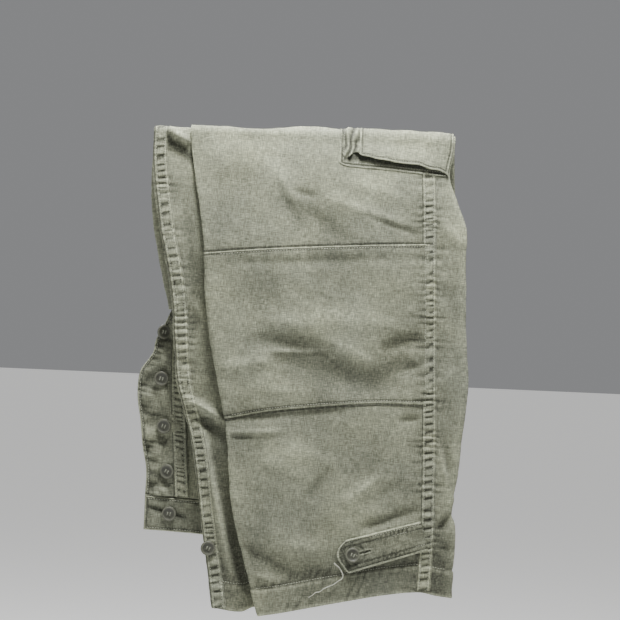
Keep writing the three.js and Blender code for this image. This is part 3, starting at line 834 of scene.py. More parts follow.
def leg_panel(leg, edge):
    """A front or back panel from waist to hem. A front one has no inner face behind the crotch."""
    name = f"{leg.side}_{'front' if edge < 0 else 'back'}_panel"
    step = LEG_STEP[leg.side]
    outer_step = COARSE if leg.side == "right" and edge > 0 else step
    inner_step = 2.2 if leg.side == "right" else COARSE
    crease = leg.front(WIDTH_RUN) if edge < 0 else leg.back(WIDTH_RUN)
    outer_width, inner_width = abs(leg.outseam(WIDTH_RUN) - crease), abs(leg.inseam(WIDTH_RUN) - crease)
    share, out = panel_rows(leg, step)
    round_edge = joined(np.linspace(1, 2, 13), spaced(2, 3, inner_step / max(inner_width, 20)))
    outer_grid, rows = panel_grid(leg, edge, spaced(0, 1, outer_step / outer_width), share, out)
    inner_grid, _ = panel_grid(leg, edge, round_edge, share, out)
    if edge < 0:
        whole = rows > -CROTCH / WAIST_RUN
        inner_grid = tuple(part[whole] for part in inner_grid)
    piece = sheet(name, [outer_grid, inner_grid], OLIVE)
    return across_fold(piece, leg, f"{name}_lower", f"{name}_upper")


def edge_profile(distance, height):
    """A turned and stitched edge: the ply rises from the cloth below it, with a groove at the needle line."""
    return height * rounded(distance, 1.6) - 0.5 * bell(distance - 3.0, 1.0)


# A turned edge is paler with wear, and painted dark as shade in the groove at its needle line.
def edge_wear_and_groove_shade(distance):
    return 1.1 * bell(distance - 0.8, 1.0) - 1.3 * bell(distance - 3.0, 1.0)


def knee_patch(leg):
    """The second ply over the knee, turned under and stitched along its top and bottom."""
    name = f"{leg.side}_knee_patch"
    rim = 2.6 / PATCH_LENGTH  # the pressed margin outside each sewn edge
    step = LEG_STEP[leg.side]
    t = joined(spaced(-rim, 0, 0.003), np.linspace(0, 0.012, 6), spaced(0.012, 0.03, 0.004),
               spaced(0.03, 0.97, step / PATCH_LENGTH), spaced(0.97, 0.988, 0.004),
               np.linspace(0.988, 1, 6), spaced(1, 1 + rim, 0.003))[:, None]
    width = abs(leg.outseam(WIDTH_RUN) - leg.front(WIDTH_RUN))
    c = joined(spaced(0, 1, step / width), np.linspace(1, 2, 13), spaced(2, 2.98, 0.1))[None]
    q = mix(125, 300, t) + leg.half
    for _ in range(2):
        x = panel_points(leg, -1, c, q)[0][..., 0]
        top, bottom = patch_top(x), patch_bottom(x)
        q = mix(top, bottom, t) + leg.half
    length = bottom - top
    distance = np.minimum(t, 1 - t) * length
    margin = smooth(-distance / 0.4)
    out = edge_profile(distance, CLOTH) + 0.12 + margin * np.where(t < 0.5, 0.6, 0.3)
    grid = panel_points(leg, -1, c, q, out)
    # The turned edge is paler with wear; its needle line and the pressed margin beside it are painted dark as
    # shade.
    wear_and_shading = grid[2] + edge_wear_and_groove_shade(distance) - 1.1 * margin
    piece = sheet(name, [(grid[0], grid[1], wear_and_shading, grid[3])], OLIVE, 0.5)
    return riding(piece, leg.body, name)


# ---- Felled seams ----

NEEDLE = 0.70  # how far out a felled seam's needle lines run, as a share of half its width


def seam_strip(name, leg, face, centre, q, width=SEAM_WIDTH, out=0.0, seed=5, height=1.35, pitch=8.5):
    """A felled seam: a raised band between two needle lines, roped where its stitching has shrunk.

    A narrow margin pressed flat into the cloth runs along each side, painted dark as shade and darkest on the
    folded side.
    """
    across = np.linspace(-1.28, 1.28, 27)[None]
    q = q[:, None]
    run = run_of(leg, q)
    x = centre(run) + across * width / 2
    plateau = np.sqrt(np.clip(1 - np.abs(across) ** 5, 0, 1))
    margin = smooth((np.abs(across) - 0.96) / 0.08) * smooth((1.26 - np.abs(across)) / 0.1)
    needle = bell(np.abs(across) - NEEDLE, 0.10)
    lean = 0.16 * across + 0.7 * noise(q, 0 * q, 60, seed) + 0.14 * noise(q, across, 15, seed + 1)
    rope = 0.5 - 0.5 * np.cos(2 * np.pi * (q / pitch + lean))
    strength = np.clip(1.0 + 0.25 * noise(q, across * 2, 40, seed + 2), 0.6, 1.25)
    valley = strength * rope ** 2.6 * np.clip(1.25 - np.abs(across) ** 3, 0, 1)
    rise = height * plateau * (1 - 0.72 * valley) - 0.42 * needle * plateau
    rise = rise + 0.12 * noise(x, q, 5, seed + 3) * plateau + margin * np.where(across < 0, 0.7, 0.4)
    points, outward = on_face(leg, face, x, q, out + rise)
    # The raised top is paler with wear and its edges are pale worn lines; the rope's valleys, the needle
    # lines and the margins are painted dark as shade.
    wear_and_shading = 0.5 * plateau * (1 - 3.6 * valley) - 0.9 * needle
    wear_and_shading = wear_and_shading + 1.3 * bell(np.abs(across) - 0.9, 0.10)
    wear_and_shading = wear_and_shading - margin * np.where(across < 0, 1.0, 0.4)
    return sheet(name, [(points, outward, wear_and_shading, np.stack([x + 400, q + 0 * x], -1))], OLIVE, 0.5)


def seam_lines(leg, face, centre, q, width=SEAM_WIDTH, out=0.75):
    """The two needle lines of a felled seam."""
    lines = []
    for side in (-1, 1):
        x = centre(run_of(leg, q)) + side * NEEDLE * width / 2
        lines.append(on_face(leg, face, x, q, out))
    return lines


def leg_seams(leg):
    """The outseam from waist to hem, the inseam from crotch to hem, and their stitching."""
    q_out = np.arange(-waist_seam(90.0) - leg.half + 1, leg.hem(145) + leg.half - 0.5, 0.9)
    q_in = np.arange(-CROTCH - leg.half, float(leg.hem(-50)) + leg.half - 1, 0.9)
    outseam = seam_strip(f"{leg.side}_outseam", leg, "outer", leg.outseam, q_out, seed=11 + leg.outward)
    inseam = seam_strip(f"{leg.side}_inseam", leg, "inner", inseam_centre(leg), q_in, seed=31 + leg.outward)
    for piece in (outseam, inseam):
        across_fold(piece, leg)
    lines = seam_lines(leg, "outer", leg.outseam, q_out) + seam_lines(leg, "inner", inseam_centre(leg), q_in)
    return lines


def inseam_centre(leg):
    return lambda run: np.maximum(leg.inseam(run), leg.front(run) + SEAM_WIDTH / 2 + 1.5)


def patch_lines(leg):
    """The stitching along the knee patch and the hem."""
    lines = []
    x = np.arange(float(leg.front(215)) + 8, float(leg.outseam(215)) - 6, 1.0)
    for edge, step in ((patch_top, 3.0), (patch_bottom, -3.0)):
        keep = (x > leg.front(edge(x)) + 6) & (x < leg.outseam(edge(x)) - 6)
        lines.append(on_face(leg, "outer", x[keep], edge(x[keep]) + step + leg.half, CLOTH - 0.3))
    return lines


def hem_lines(leg):
    lines = []
    for face in ("outer", "inner"):
        low, high = float(leg.front(490)) + 9, float(leg.back(490)) - 9
        x = np.arange(low, high, 1.0)
        lines.append(on_face(leg, face, x, leg.hem(x) - HEM + leg.half, 0.35))
    return lines


# ---- Buttons ----

BUTTON = SimpleNamespace(radius=8.2, thick=2.6, dish=1.0, hole=0.85, spread=1.6)


def button_mesh():
    """A dished four-hole button on the xz plane, facing -y."""
    rim, floor = BUTTON.radius, BUTTON.thick - BUTTON.dish
    profile = [(0, 0), (6.8, 0), (7.8, 0.5), (rim, 1.2), (8.1, 1.9), (7.6, 2.45), (7.0, BUTTON.thick),
               (6.3, 2.45), (5.5, 1.9), (5.0, floor), (0, floor)]
    made = bmesh.new()
    rounds = 48
    rings = []
    for r, y in profile:
        angles = [2 * math.pi * k / rounds for k in range(rounds if r else 1)]
        rings.append([made.verts.new((r * math.cos(a), -y, r * math.sin(a))) for a in angles])
    for a, b in zip(rings, rings[1:]):
        for k in range(rounds):
            j = (k + 1) % rounds
            corners = [a[k % len(a)], a[j % len(a)], b[j % len(b)], b[k % len(b)]]
            made.faces.new(list(dict.fromkeys(corners)))
    bmesh.ops.recalc_face_normals(made, faces=made.faces)
    body = bpy.data.meshes.new("button_body")
    made.to_mesh(body)
    made.free()
    button = linked("button_body", body)
    for dx in (-1, 1):
        for dz in (-1, 1):
            drill(button, dx * BUTTON.spread, dz * BUTTON.spread)
    return finished_button(button)


def drill(button, x, z):
    bpy.ops.mesh.primitive_cylinder_add(vertices=20, radius=BUTTON.hole, depth=4 * BUTTON.thick,
                                        location=(x, -BUTTON.thick / 2, z), rotation=(math.pi / 2, 0, 0))
    tool = bpy.context.object
    modifier = button.modifiers.new("hole", "BOOLEAN")
    modifier.operation = "DIFFERENCE"
    modifier.object = tool
    bpy.context.view_layer.objects.active = button
    bpy.ops.object.modifier_apply(modifier=modifier.name)
    bpy.data.objects.remove(tool)


def finished_button(button):
    """The button's mesh, rubbed pale on its rim, where the paleness is also a painted highlight, and painted
    darker in its dish as shade.
    """
    mesh = button.data
    place = np.array([v.co for v in mesh.vertices])
    far = np.hypot(place[:, 0], place[:, 2]) / BUTTON.radius
    # Paler on the rim with wear and a painted highlight; painted shade in the dish.
    wear_and_shading = 0.9 * bell(far - 0.86, 0.08) - 0.3 * bell(far - 0.62, 0.1)
    set_wear_and_shading(mesh, wear_and_shading)
    mesh.transform(Matrix.Scale(MM, 4))
    smooth_by_angle(mesh)
    mesh.materials.append(PLASTIC)
    bpy.data.objects.remove(button)
    return mesh


def smooth_by_angle(mesh, limit=math.radians(38)):
    mesh.polygons.foreach_set("use_smooth", np.ones(len(mesh.polygons), bool))
    made = bmesh.new()
    made.from_mesh(mesh)
    for edge in made.edges:
        edge.smooth = len(edge.link_faces) != 2 or edge.calc_face_angle() < limit
    made.to_mesh(mesh)
    made.free()


BUTTON_MESH = button_mesh()


def sewn_button(node_name, body, leg, face, seat, spin, turn=(0.0, 0.0)):
    """A button over its CAD node, sewn to a leg's face on a thread shank of length seat.

    spin turns it about its own axis, and turn tilts it to the side and up.
    """
    low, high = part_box(node_name)
    centre = (low + high) / 2 / MM
    q = math.copysign(1.0, -centre.y) * (abs(centre.z - AXIS_Z) + leg.half)
    points, outward = on_face(leg, face, np.array([centre.x]), np.array([q]), fine=False)
    normal = Vector(outward[0])
    away = Vector((0, -1, 0)).rotation_difference(normal).to_matrix().to_4x4()
    tilted = away @ Matrix.Rotation(turn[0], 4, "Z") @ Matrix.Rotation(turn[1], 4, "X")
    matrix = Matrix.Translation(Vector(points[0]) * MM + normal * seat * MM)
    matrix = matrix @ (tilted @ Matrix.Rotation(spin, 4, "Y"))
    head = linked(f"{node_name}_head", BUTTON_MESH)
    head.matrix_world = matrix
    riding(head, body, node_name, slot="button_plastic")
    thread = button_thread(f"{node_name}_thread", seat)
    thread.data.transform(Matrix.Translation(matrix.translation) @ matrix.to_3x3().to_4x4())
    riding(thread, body)


def button_thread(name, seat):
    """Two bars of thread over the holes, and the shank under the button."""
    lines = []
    for x in (-BUTTON.spread, BUTTON.spread):
        for shift in (-0.38, 0.0, 0.38):
            z = np.linspace(-1.9, 1.9, 9)
            y = -1.85 - 0.3 * np.cos(z / 1.9 * np.pi / 2)
            lines.append(np.stack([0 * z + x + shift, y, z], -1))
    for k in range(9):
        turn = 2 * math.pi * k / 9
        y = np.linspace(seat + 0.4, -0.2, 4)
        lines.append(np.stack([1.4 * math.cos(turn) + 0 * y, y, 1.4 * math.sin(turn) + 0 * y], -1))
    points, faces = gather([tube(line, 0.24, 6) for line in lines])
    return new_piece(name, points, faces, BUTTON_THREAD)


def tube(line, radius, sides=8):
    """A round thread along a line of points, closed at both ends: (points, faces)."""
    tangent = np.gradient(line, axis=0)
    tangent /= np.linalg.norm(tangent, axis=1, keepdims=True)
    hint = np.array([0.31, 0.83, 0.46])
    side = np.cross(tangent, hint)
    side /= np.linalg.norm(side, axis=1, keepdims=True)
    up = np.cross(tangent, side)
    angles = np.linspace(0, 2 * np.pi, sides, endpoint=False)
    ring = np.cos(angles)[None, :, None] * side[:, None] + np.sin(angles)[None, :, None] * up[:, None]
    points = (line[:, None] + radius * ring).reshape(-1, 3)
    count = len(line)
    faces = [[k * sides + s, k * sides + (s + 1) % sides, (k + 1) * sides + (s + 1) % sides,
              (k + 1) * sides + s] for k in range(count - 1) for s in range(sides)]
    faces.append(list(range(sides))[::-1])
    faces.append([(count - 1) * sides + s for s in range(sides)])
    return points, faces


def gather(parts):
    """Several (points, faces) as one."""
    points, faces, count = [], [], 0
    for these, those in parts:
        points.append(these)
        faces.extend([[count + k for k in face] for face in those])
        count += len(these)
    return np.concatenate(points), faces


# ---- Pieces laid on a face ----

def fine_ends(length, step, fine=0.45, reach=4.5):
    """Places from 0 to 1 along a length, closer together near both ends."""
    edge = spaced(0, min(reach, length / 3) / length, fine / length)
    return joined(edge, spaced(edge[-1], 1 - edge[-1], step / length), 1 - edge[::-1])


def laid_grid(leg, left, right, start, end, out, height, step=1.8, sewn="lrtb", under=False, shape=None):
    """A raised ply on a leg's outer face. left and right give x at a run, start and end give q at x.

    sewn names the turned and stitched sides: l, r, t (at start) and b (at end). shape(x, q, distance) gives
    (extra height, extra wear and painted shading).
    """
    q0, q1 = float(np.mean(start(np.array([0.0])))), float(np.mean(end(np.array([0.0]))))
    t = fine_ends(abs(q1 - q0) + 1, step)[:, None]
    wide = float(np.max(right(run_of(leg, q1)) - left(run_of(leg, q1))))
    u = fine_ends(max(wide, 12), step)[None]
    q = mix(q0, q1, t) + 0 * u
    for _ in range(3):
        run = run_of(leg, q)
        x = mix(left(run), right(run), u)
        q = mix(start(x), end(x), t)
    width = np.maximum(right(run) - left(run), 1)
    length = np.abs(end(x) - start(x))
    far = np.full(q.shape, 99.0)
    distances = {"l": u * width, "r": (1 - u) * width, "t": t * length, "b": (1 - t) * length}
    for side in sewn:
        far = np.minimum(far, distances[side])
    rise = edge_profile(far, height)
    wear_and_shading = edge_wear_and_groove_shade(far)
    if shape:
        more, shading_and_wear = shape(x, q, far)
        rise, wear_and_shading = rise + more, wear_and_shading + shading_and_wear
    points, outward = on_face(leg, "outer", x, q, out + rise, fine=False, under=under)
    return points, outward, wear_and_shading, np.stack([x, q], -1)


def constant(value):
    return lambda where: value + 0 * where


def level(leg, run):
    """A start or an end at one run all along."""
    return constant(down(leg, run))


def edge_line(leg, x, q, out):
    """A needle line at the places (x, q) on an outer face."""
    return on_face(leg, "outer", np.asarray(x, float), np.asarray(q, float), out, fine=False)


def buttonhole(along, across, half):
    """(rise, wear and painted shade) of a buttonhole: its corded rim round its slit, which is half long to
    each side, is paler with wear, and the slit is painted dark as shade.
    """
    away = np.hypot(np.maximum(np.abs(along) - half, 0), across)
    rise = 0.5 * bell(away - 1.7, 0.8) - 1.2 * bell(away, 0.8)
    return rise, 0.6 * bell(away - 1.8, 0.7) - 1.1 * bell(away, 0.9)


# ---- Hem tabs ----

TAB = SimpleNamespace(length=99, root=33, tip=37, tilt=math.radians(17.5), run=432, out=0.5, rows=(2.9, 7.6),
                      slot=69, half_slot=7, button=77.5)  # its slot and button are measured from the sewn end
tab_end = curve((-18.5, 90.5), (-16, 92.5), (-2, 98), (5, 97.8), (11, 94.5), (15.5, 88.5), (18.5, 84))


def tab_place(leg, s, w, out):
    """A place on a hem tab: s from its sewn end towards its tip, w across it, up positive."""
    x = leg.outseam(TAB.run) - 3 - s * math.cos(TAB.tilt) - w * math.sin(TAB.tilt)
    run = TAB.run + s * math.sin(TAB.tilt) - w * math.cos(TAB.tilt)
    return on_face(leg, "outer", x, run + leg.half, TAB.out + out, fine=False)


def tab_half(s):
    return mix(TAB.root, TAB.tip, s / TAB.length) / 2


def hem_tab(leg):
    """The strap of two plies that gathers the hem, with its keyhole buttonhole and edge stitching."""
    name = f"{leg.side}_hem_tab"
    edge_row, inner_row = TAB.rows
    t = fine_ends(98, 0.9)[:, None]
    u = (2 * fine_ends(36, 0.8) - 1)[None]
    s = t * tab_end(u * TAB.tip / 2)
    half = tab_half(s)
    w = u * half
    far = np.minimum(half - np.abs(w), tab_end(w * TAB.tip / 2 / half) - s)
    rise = DOUBLE * rounded(far, 2.2) - 0.5 * bell(far - edge_row, 0.7) - 0.4 * bell(far - inner_row, 0.8)
    rope = pucker(s + 0.4 * w, far - 5, 401, 6.0, 5.0)
    rise = rise + 0.7 * rope + 0.45 * noise(s, w, 19, 402) * smooth(far / 6) + 0.9 * (s / 98) ** 2
    rise = rise + 2.4 * smooth(0.5 - w / 2 / half) * smooth(s / 30)
    slot_far = np.hypot(np.maximum(np.abs(s - TAB.slot) - TAB.half_slot, 0), w)
    purl = 0.6 * bell(slot_far - 1.8, 0.9) - 1.3 * bell(slot_far, 0.8)
    eye_far = np.hypot(s - TAB.button, w)
    rise = rise + purl - 0.5 * bell(eye_far - 9.5, 1.4)
    # Pale worn edges and buttonhole rim; painted shade along the needle rows, in the puckers and in the slit;
    # a painted shadow in a ring round the button; the whole tab a little darker.
    wear_and_shading = 1.6 * bell(far - 1.0, 1.1) - 0.9 * bell(far - edge_row, 0.8)
    wear_and_shading = wear_and_shading - 0.9 * bell(far - inner_row, 0.9) + 1.2 * rope - 0.35 - 1.2 * bell(slot_far, 1.0)
    wear_and_shading = wear_and_shading + 0.7 * bell(slot_far - 1.9, 0.7) - 0.6 * bell(eye_far - 9.3, 1.2)
    points, outward = tab_place(leg, s, w, rise)
    flat = np.stack([w + 900, s], -1)
    piece = sheet(name, [(points, outward, wear_and_shading, flat)], OLIVE, 1.2)
    riding(piece, f"{leg.side}_tab", name)
    lines = [tab_line(leg, inset) for inset in TAB.rows]
    riding(stitches(f"{name}_stitching", lines), f"{leg.side}_tab")
    purls = stitches(f"{name}_buttonhole", purl_lines(leg), pitch=0.9, length=2.0, radius=0.28)
    riding(purls, f"{leg.side}_tab")
    sewn_button(f"{leg.side}_hem_tab_button", leg.body, leg, "outer", seat=TAB.out + DOUBLE + 1.1,
                spin=0.35, turn=(0.10, -0.12))


def tab_line(leg, inset):
    """A row of stitching that runs inset from the strap's edges and round its tip."""
    side, tip = 80, 60  # points along each side and round the tip
    w = np.concatenate([np.full(side, 1.0), np.linspace(1, -1, tip), np.full(side, -1.0)])
    end = tab_end(w * TAB.tip / 2) - inset
    s = np.concatenate([np.linspace(2, end[0], side), end[side:side + tip], np.linspace(end[-1], 2, side)])
    across = w * (tab_half(s) - inset)
    return tab_place(leg, s, across, DOUBLE - 0.35)


def purl_lines(leg):
    """The close stitches square to the buttonhole's edge."""
    lines = []
    for side in (-1, 1):
        for s in np.arange(TAB.slot - TAB.half_slot, TAB.slot + TAB.half_slot, 0.85):
            across = side * np.linspace(0.9, 2.9, 3)
            lines.append(tab_place(leg, s + 0 * across, across, DOUBLE + 0.25))
    return lines


def loose_thread(leg):
    """A frayed end of thread that hangs from the tip of the tab."""
    t = np.linspace(0, 1, 90)
    along = t * 60  # about its length
    x = curve((0, 52), (0.28, 61), (0.62, 40), (1, 24.5))(t) + 0.7 * noise(along, 0 * t, 14, 501)
    run = curve((0, 466), (0.28, 482), (0.62, 496), (1, 505))(t) + 0.5 * noise(along, 0 * t, 11, 502)
    out = 2.6 + 1.2 * np.sin(3 * t) + 0.4 * noise(along, 0 * t, 9, 503)
    points, _ = on_face(leg, "outer", x, run + leg.half, out, fine=False)
    strands = [tube(points + shift, 0.42 * np.linspace(1.1, 0.8, 90)[:, None, None], 8)
               for shift in ([0, 0, 0], [0.35, -0.1, 0.3])]
    points, faces = gather(strands)
    riding(new_piece("loose_thread", points, faces, PALE_THREAD), "left_tab")


# ---- Cargo pockets ----

POCKET = SimpleNamespace(mouth=180, left=40, face=60, inset=1.5, stand=5.2, out=1.2)
cargo_lip = curve((37, 25), (43, 29), (62, 31), (87, 32), (113, 34), (161, 37))
cargo_edge = curve((58, 14), (66, 18), (87, 21), (107, 24), (129, 26), (146, 30), (161, 36))


def pocket_right(leg):
    return lambda run: leg.back(run) - POCKET.inset


def left_cargo_pocket():
    """A bellows pocket over the outseam: a stitched base, a crumpled side pleat and a standing face."""
    leg = LEFT
    mouth = level(leg, -POCKET.mouth)

    def lip(x):
        return down(leg, cargo_lip(x))

    def edge(x):
        return down(leg, cargo_edge(x) + 0.7 * noise(x, 0 * x, 24, 610))

    right = pocket_right(leg)
    base = laid_grid(leg, constant(POCKET.left - 2.0), right, mouth, lip, 0.1, 1.0, shape=base_shape)
    piece = sheet("left_cargo_base", [base], OLIVE, 0.5)
    across_fold(piece, leg, "left_cargo_gusset_lower", "left_cargo_gusset_upper")
    face = laid_grid(leg, constant(POCKET.face), right, mouth, edge, POCKET.out, 1.0, shape=face_shape)
    piece = sheet("left_cargo_face", [face], OLIVE, 0.8)
    across_fold(piece, leg, "left_cargo_pocket_lower", "left_cargo_pocket_upper", "left_cargo_pocket_fold")
    across_fold(cargo_pleat(leg), leg)
    across_fold(stitches("left_cargo_stitching", cargo_lines(leg)), leg)


def base_shape(x, q, far):
    """The base is painted darkest under the face's edge, as shade where the pocket gapes."""
    under = run_of(LEFT, q) - cargo_edge(x)
    gape = mix(11, 5.5, smooth((x - 50) / 20))
    return 0.0, -1.3 * smooth((gape - under) / 4) * smooth((x - POCKET.left - 1) / 3) * (q > 0)


def face_shape(x, q, far):
    """The pocket's face stands off its base, most along its lower edge, and closes at its right end."""
    leg = LEFT
    run = run_of(leg, q)
    open_end = smooth((158 - x) / 60) * smooth((x - 56) / 6)
    lower = smooth(1 - (cargo_edge(x) - run) / 22) * (q > 0)
    stand = POCKET.stand * smooth((170 - x) / 12) * (0.35 + 0.65 * open_end)
    rise = stand * (0.45 + 0.55 * lower) + 0.5 * noise(x, q, 30, 620) + 0.4 * creases(x, q, 40, 621)
    hem = bell(far - 7.5, 0.8)
    # Painted shade in the groove of the face's stitched turn, and the whole face a little paler.
    return rise - 0.3 * hem, 0.12 * noise(x, q, 9, 622) - 0.3 * hem + 0.42


def cargo_pleat(leg):
    """The side of the bellows, which crumples between the base's stitched edge and the edge of the face."""
    u = np.linspace(0, 1, 46)[None]
    share = spaced(0, 1, 0.006)[:, None]
    last = down(leg, 17)
    q = mix(down(leg, -POCKET.mouth), last, share)
    below = smooth((q - leg.half) / 12)
    drift = 1.6 * noise(q, 0 * q, 30, 630) + 3.5 * np.sin(q / 9.0) * below
    x = mix(POCKET.left + 0.5, POCKET.face + 1.5, u) + drift * np.sin(np.pi * u)
    pleats = np.abs(((u * 2.5 + 0.35 * noise(q, 20 * u, 26, 631) + 0.02 * q) % 1) * 2 - 1)
    middle = np.sin(np.pi * u)
    height = mix(0.6, POCKET.stand * 0.8, u) + (3.2 + 2.0 * below) * (pleats - 0.35) * middle ** 0.6
    height = height + 0.7 * noise(x, q, 8, 632) * middle
    q = q + 5 * below * np.sin(np.pi * u * 1.7) + 7 * below * (u - 0.6)
    points, outward = on_face(leg, "outer", x, q, np.maximum(height, 0.3), fine=False)
    # Pleat ridges painted pale as light and their valleys painted dark as shade.
    wear_and_shading = 2.6 * (pleats - 0.55) * middle ** 0.5
    return sheet("left_cargo_pleat", [(points, outward, wear_and_shading, np.stack([x + 300, q], -1))], OLIVE, 0.6)


def cargo_lines(leg):
    """The two rows round the base, and the row along the face's turned edge."""
    lines = []
    for inset in (1.6, 5.0):
        x = np.arange(POCKET.left + inset, 158, 1.0)
        lines.append(edge_line(leg, x, down(leg, cargo_lip(x) - inset), 0.95))
        q = np.arange(down(leg, -POCKET.mouth) + 2, down(leg, 24), 1.0)
        lines.append(edge_line(leg, POCKET.left - 2 + inset + 0 * q, q, 0.95))
    x = np.arange(POCKET.face + 3, 160, 1.0)
    q = down(leg, cargo_edge(x) - 3.0)
    rise, _ = face_shape(x, q, 3.0)
    lines.append(edge_line(leg, x, q, POCKET.out + 0.75 + rise))
    return lines


def right_cargo_pocket():
    leg = RIGHT
    mouth, hem = level(leg, -POCKET.mouth), level(leg, 40)
    grid = laid_grid(leg, constant(-6), lambda run: leg.back(run) - 8, mouth, hem, 0.1, 0.9, 4.0)
    piece = sheet("right_cargo_pocket", [grid], OLIVE, 0.4)
    across_fold(piece, leg, "right_cargo_pocket_lower", "right_cargo_pocket_upper", "right_cargo_pocket_fold")


def cargo_flap(leg):
    """A flap of two plies, sewn on past the pocket's mouth, with its corners rounded."""
    name = f"{leg.side}_cargo_flap"
    left = POCKET.left if leg.side == "left" else 2
    right = left + FLAP.width
    out = 5.0 if leg.side == "left" else 1.3
    top = FLAP.hinge - FLAP.height
    hinge = level(leg, -FLAP.hinge)
    buttons = [left + 22, right - 22]

    def tip(x):
        corner = 1 - rounded(np.minimum(x - left, right - x), FLAP.corner)
        return down(leg, -(top + FLAP.corner * corner))

    def shape(x, q, far):
        run = -run_of(leg, q)
        rise = 0.35 * noise(x, q, 22, 640) - 0.35 * bell(far - 7.4, 0.8)
        # Painted shade along the inner needle row.
        wear_and_shading = -0.45 * bell(far - 7.4, 0.7)
        for place in buttons:
            more, shading_and_wear = buttonhole(run - top - 19, x - place, 6)
            rise, wear_and_shading = rise + more, wear_and_shading + shading_and_wear
        return rise, wear_and_shading

    grid = laid_grid(leg, constant(left), constant(right), hinge, tip, out, DOUBLE * 0.9, 1.6,
                     shape=shape)
    riding(sheet(name, [grid], OLIVE, 1.0), f"{leg.side}_flap", name)
    lines = []
    for inset in (3.0, 7.4):
        x = np.arange(left + inset, right - inset + 0.5, 1.0)
        lines.append(edge_line(leg, x, tip(x) - inset, out + 1.45))
        q = np.arange(down(leg, -FLAP.hinge) + 2, down(leg, -top) - 12, 1.0)
        for side in (left + inset, right - inset):
            lines.append(edge_line(leg, side + 0 * q, q, out + 1.45))
    riding(stitches(f"{name}_stitching", lines), f"{leg.side}_flap")
    for k in (1, 2):
        seat = out + DOUBLE + 0.4
        sewn_button(f"{leg.side}_cargo_button_{k}", "hips", leg, "outer", seat=seat, spin=0.5 * k)


# ---- Hips ----

FLY_SEAT = DOUBLE + 1.6  # how far a fly button stands off the cloth
HIP_SLIT = SimpleNamespace(x=22, z=-322, length=150, lean=math.radians(38))
WAIST_BACK = 94.0  # x of the centre back seam at the waist
stand_edge = curve((196, -141), (212, -148), (230, -157), (245, -160), (263, -172), (275, -175), (296, -175),
                   (319, -171), (349, -167), (375, -162), (404, -162))
fly_seam = curve((-404, -121), (-300, -129), (-200, -133))


def fly_stand():
    """The strip of two plies that carries the fly buttons, its free edge drawn into puckers."""
    leg = RIGHT
    start, end = level(leg, -198), level(leg, -404)

    def shape(x, q, far):
        run = run_of(leg, q)
        puckers = pucker(q + 0.2 * x, (x - stand_edge(-run)) - 4, 701, 8.3, 13.0)
        puffs = 1.9 * noise(x, q, 27, 702) * smooth(far / 6) + 1.5 * creases(x, q, 34, 703) * smooth(far / 9)
        # Painted shade in the puckers and creases, painted light on the puffs, and the whole stand painted
        # darker as shade.
        return 1.7 * puckers * smooth(far / 1.5) + puffs, 1.15 * puckers + 0.14 * puffs - 0.3

    grid = laid_grid(leg, lambda run: stand_edge(-run), lambda run: fly_seam(run) + 2, start, end,
                     0.0, DOUBLE, 1.2, sewn="lt", shape=shape)
    riding(sheet("fly_stand", [grid], OLIVE, 1.1), "button_stand", "fly_button_stand")
    q = np.arange(down(leg, -402), down(leg, -200), 1.0)
    edge = stand_edge(-run_of(leg, q)) + 3
    riding(stitches("fly_stand_stitching", [edge_line(leg, edge, q, 1.3)]), "button_stand")
    for k, lean in enumerate((0.55, 0.08, -0.08, -0.33), 1):
        sewn_button(f"fly_button_{k}", "button_stand", leg, "outer", seat=FLY_SEAT, spin=0.12 * k,
                    turn=(lean, 0.1))


def fly_column():
    """The felled seam that holds the button stand."""
    q = np.arange(down(RIGHT, -404), down(RIGHT, -196), 0.9)
    strip = seam_strip("fly_seam", RIGHT, "outer", fly_seam, q, width=13, out=2.2, seed=41, height=1.0,
                       pitch=5.5)
    riding(strip, "hips")
    return seam_lines(RIGHT, "outer", fly_seam, q, 13, out=2.9)


def waistband(leg):
    """The doubled band along the waist, from the fly round the back fold edge to the centre back."""
    name = f"{leg.side}_waistband"
    fly_x = -156.0 if leg.side == "left" else -162.0
    t = fine_ends(WAISTBAND, 1.5)[:, None]
    c = joined(fine_ends(300, 1.8), np.linspace(1, 2, 13), spaced(2, 3, 0.06))[None]
    grid = band_points(leg, fly_x, c, t, 0.0)
    far = np.minimum(np.minimum(t, 1 - t) * WAISTBAND, np.where(c < 1, c * 300, 99))
    x, q = grid[3][..., 0], grid[3][..., 1]
    ruck = pucker(x + 0.2 * q, far - 2, 720 + leg.outward, 10.0, 9.0)
    tug = 0
    if leg.side == "right":
        tug = fold(x, -np.abs(run_of(leg, q)), (-161, -416), (-112, -428), -1.3, 2.2)
    rise = edge_profile(far, DOUBLE) + 0.5 * ruck + 0.3 * noise(x, q, 20, 724) * smooth(far / 5) + tug
    grid = band_points(leg, fly_x, c, t, rise)
    # Pale worn edges; painted shade at the needle lines, in the rucks and in the tug's valley; the right band
    # is painted darker all over as shade.
    wear_and_shading = edge_wear_and_groove_shade(far) + 0.6 * ruck + 0.6 * tug - (0.25 if leg.side == "right" else 0.0)
    riding(sheet(name, [(grid[0], grid[1], wear_and_shading, grid[3])], OLIVE, 1.2), "hips", name)
    lines = []
    for inset in (3.0, WAISTBAND - 3.0):
        row = np.full((1, 1), inset / WAISTBAND)
        line = band_points(leg, fly_x, np.linspace(0.01, 0.99, 300)[None], row, DOUBLE - 0.35)
        lines.append((line[0][0], line[1][0]))
    return lines


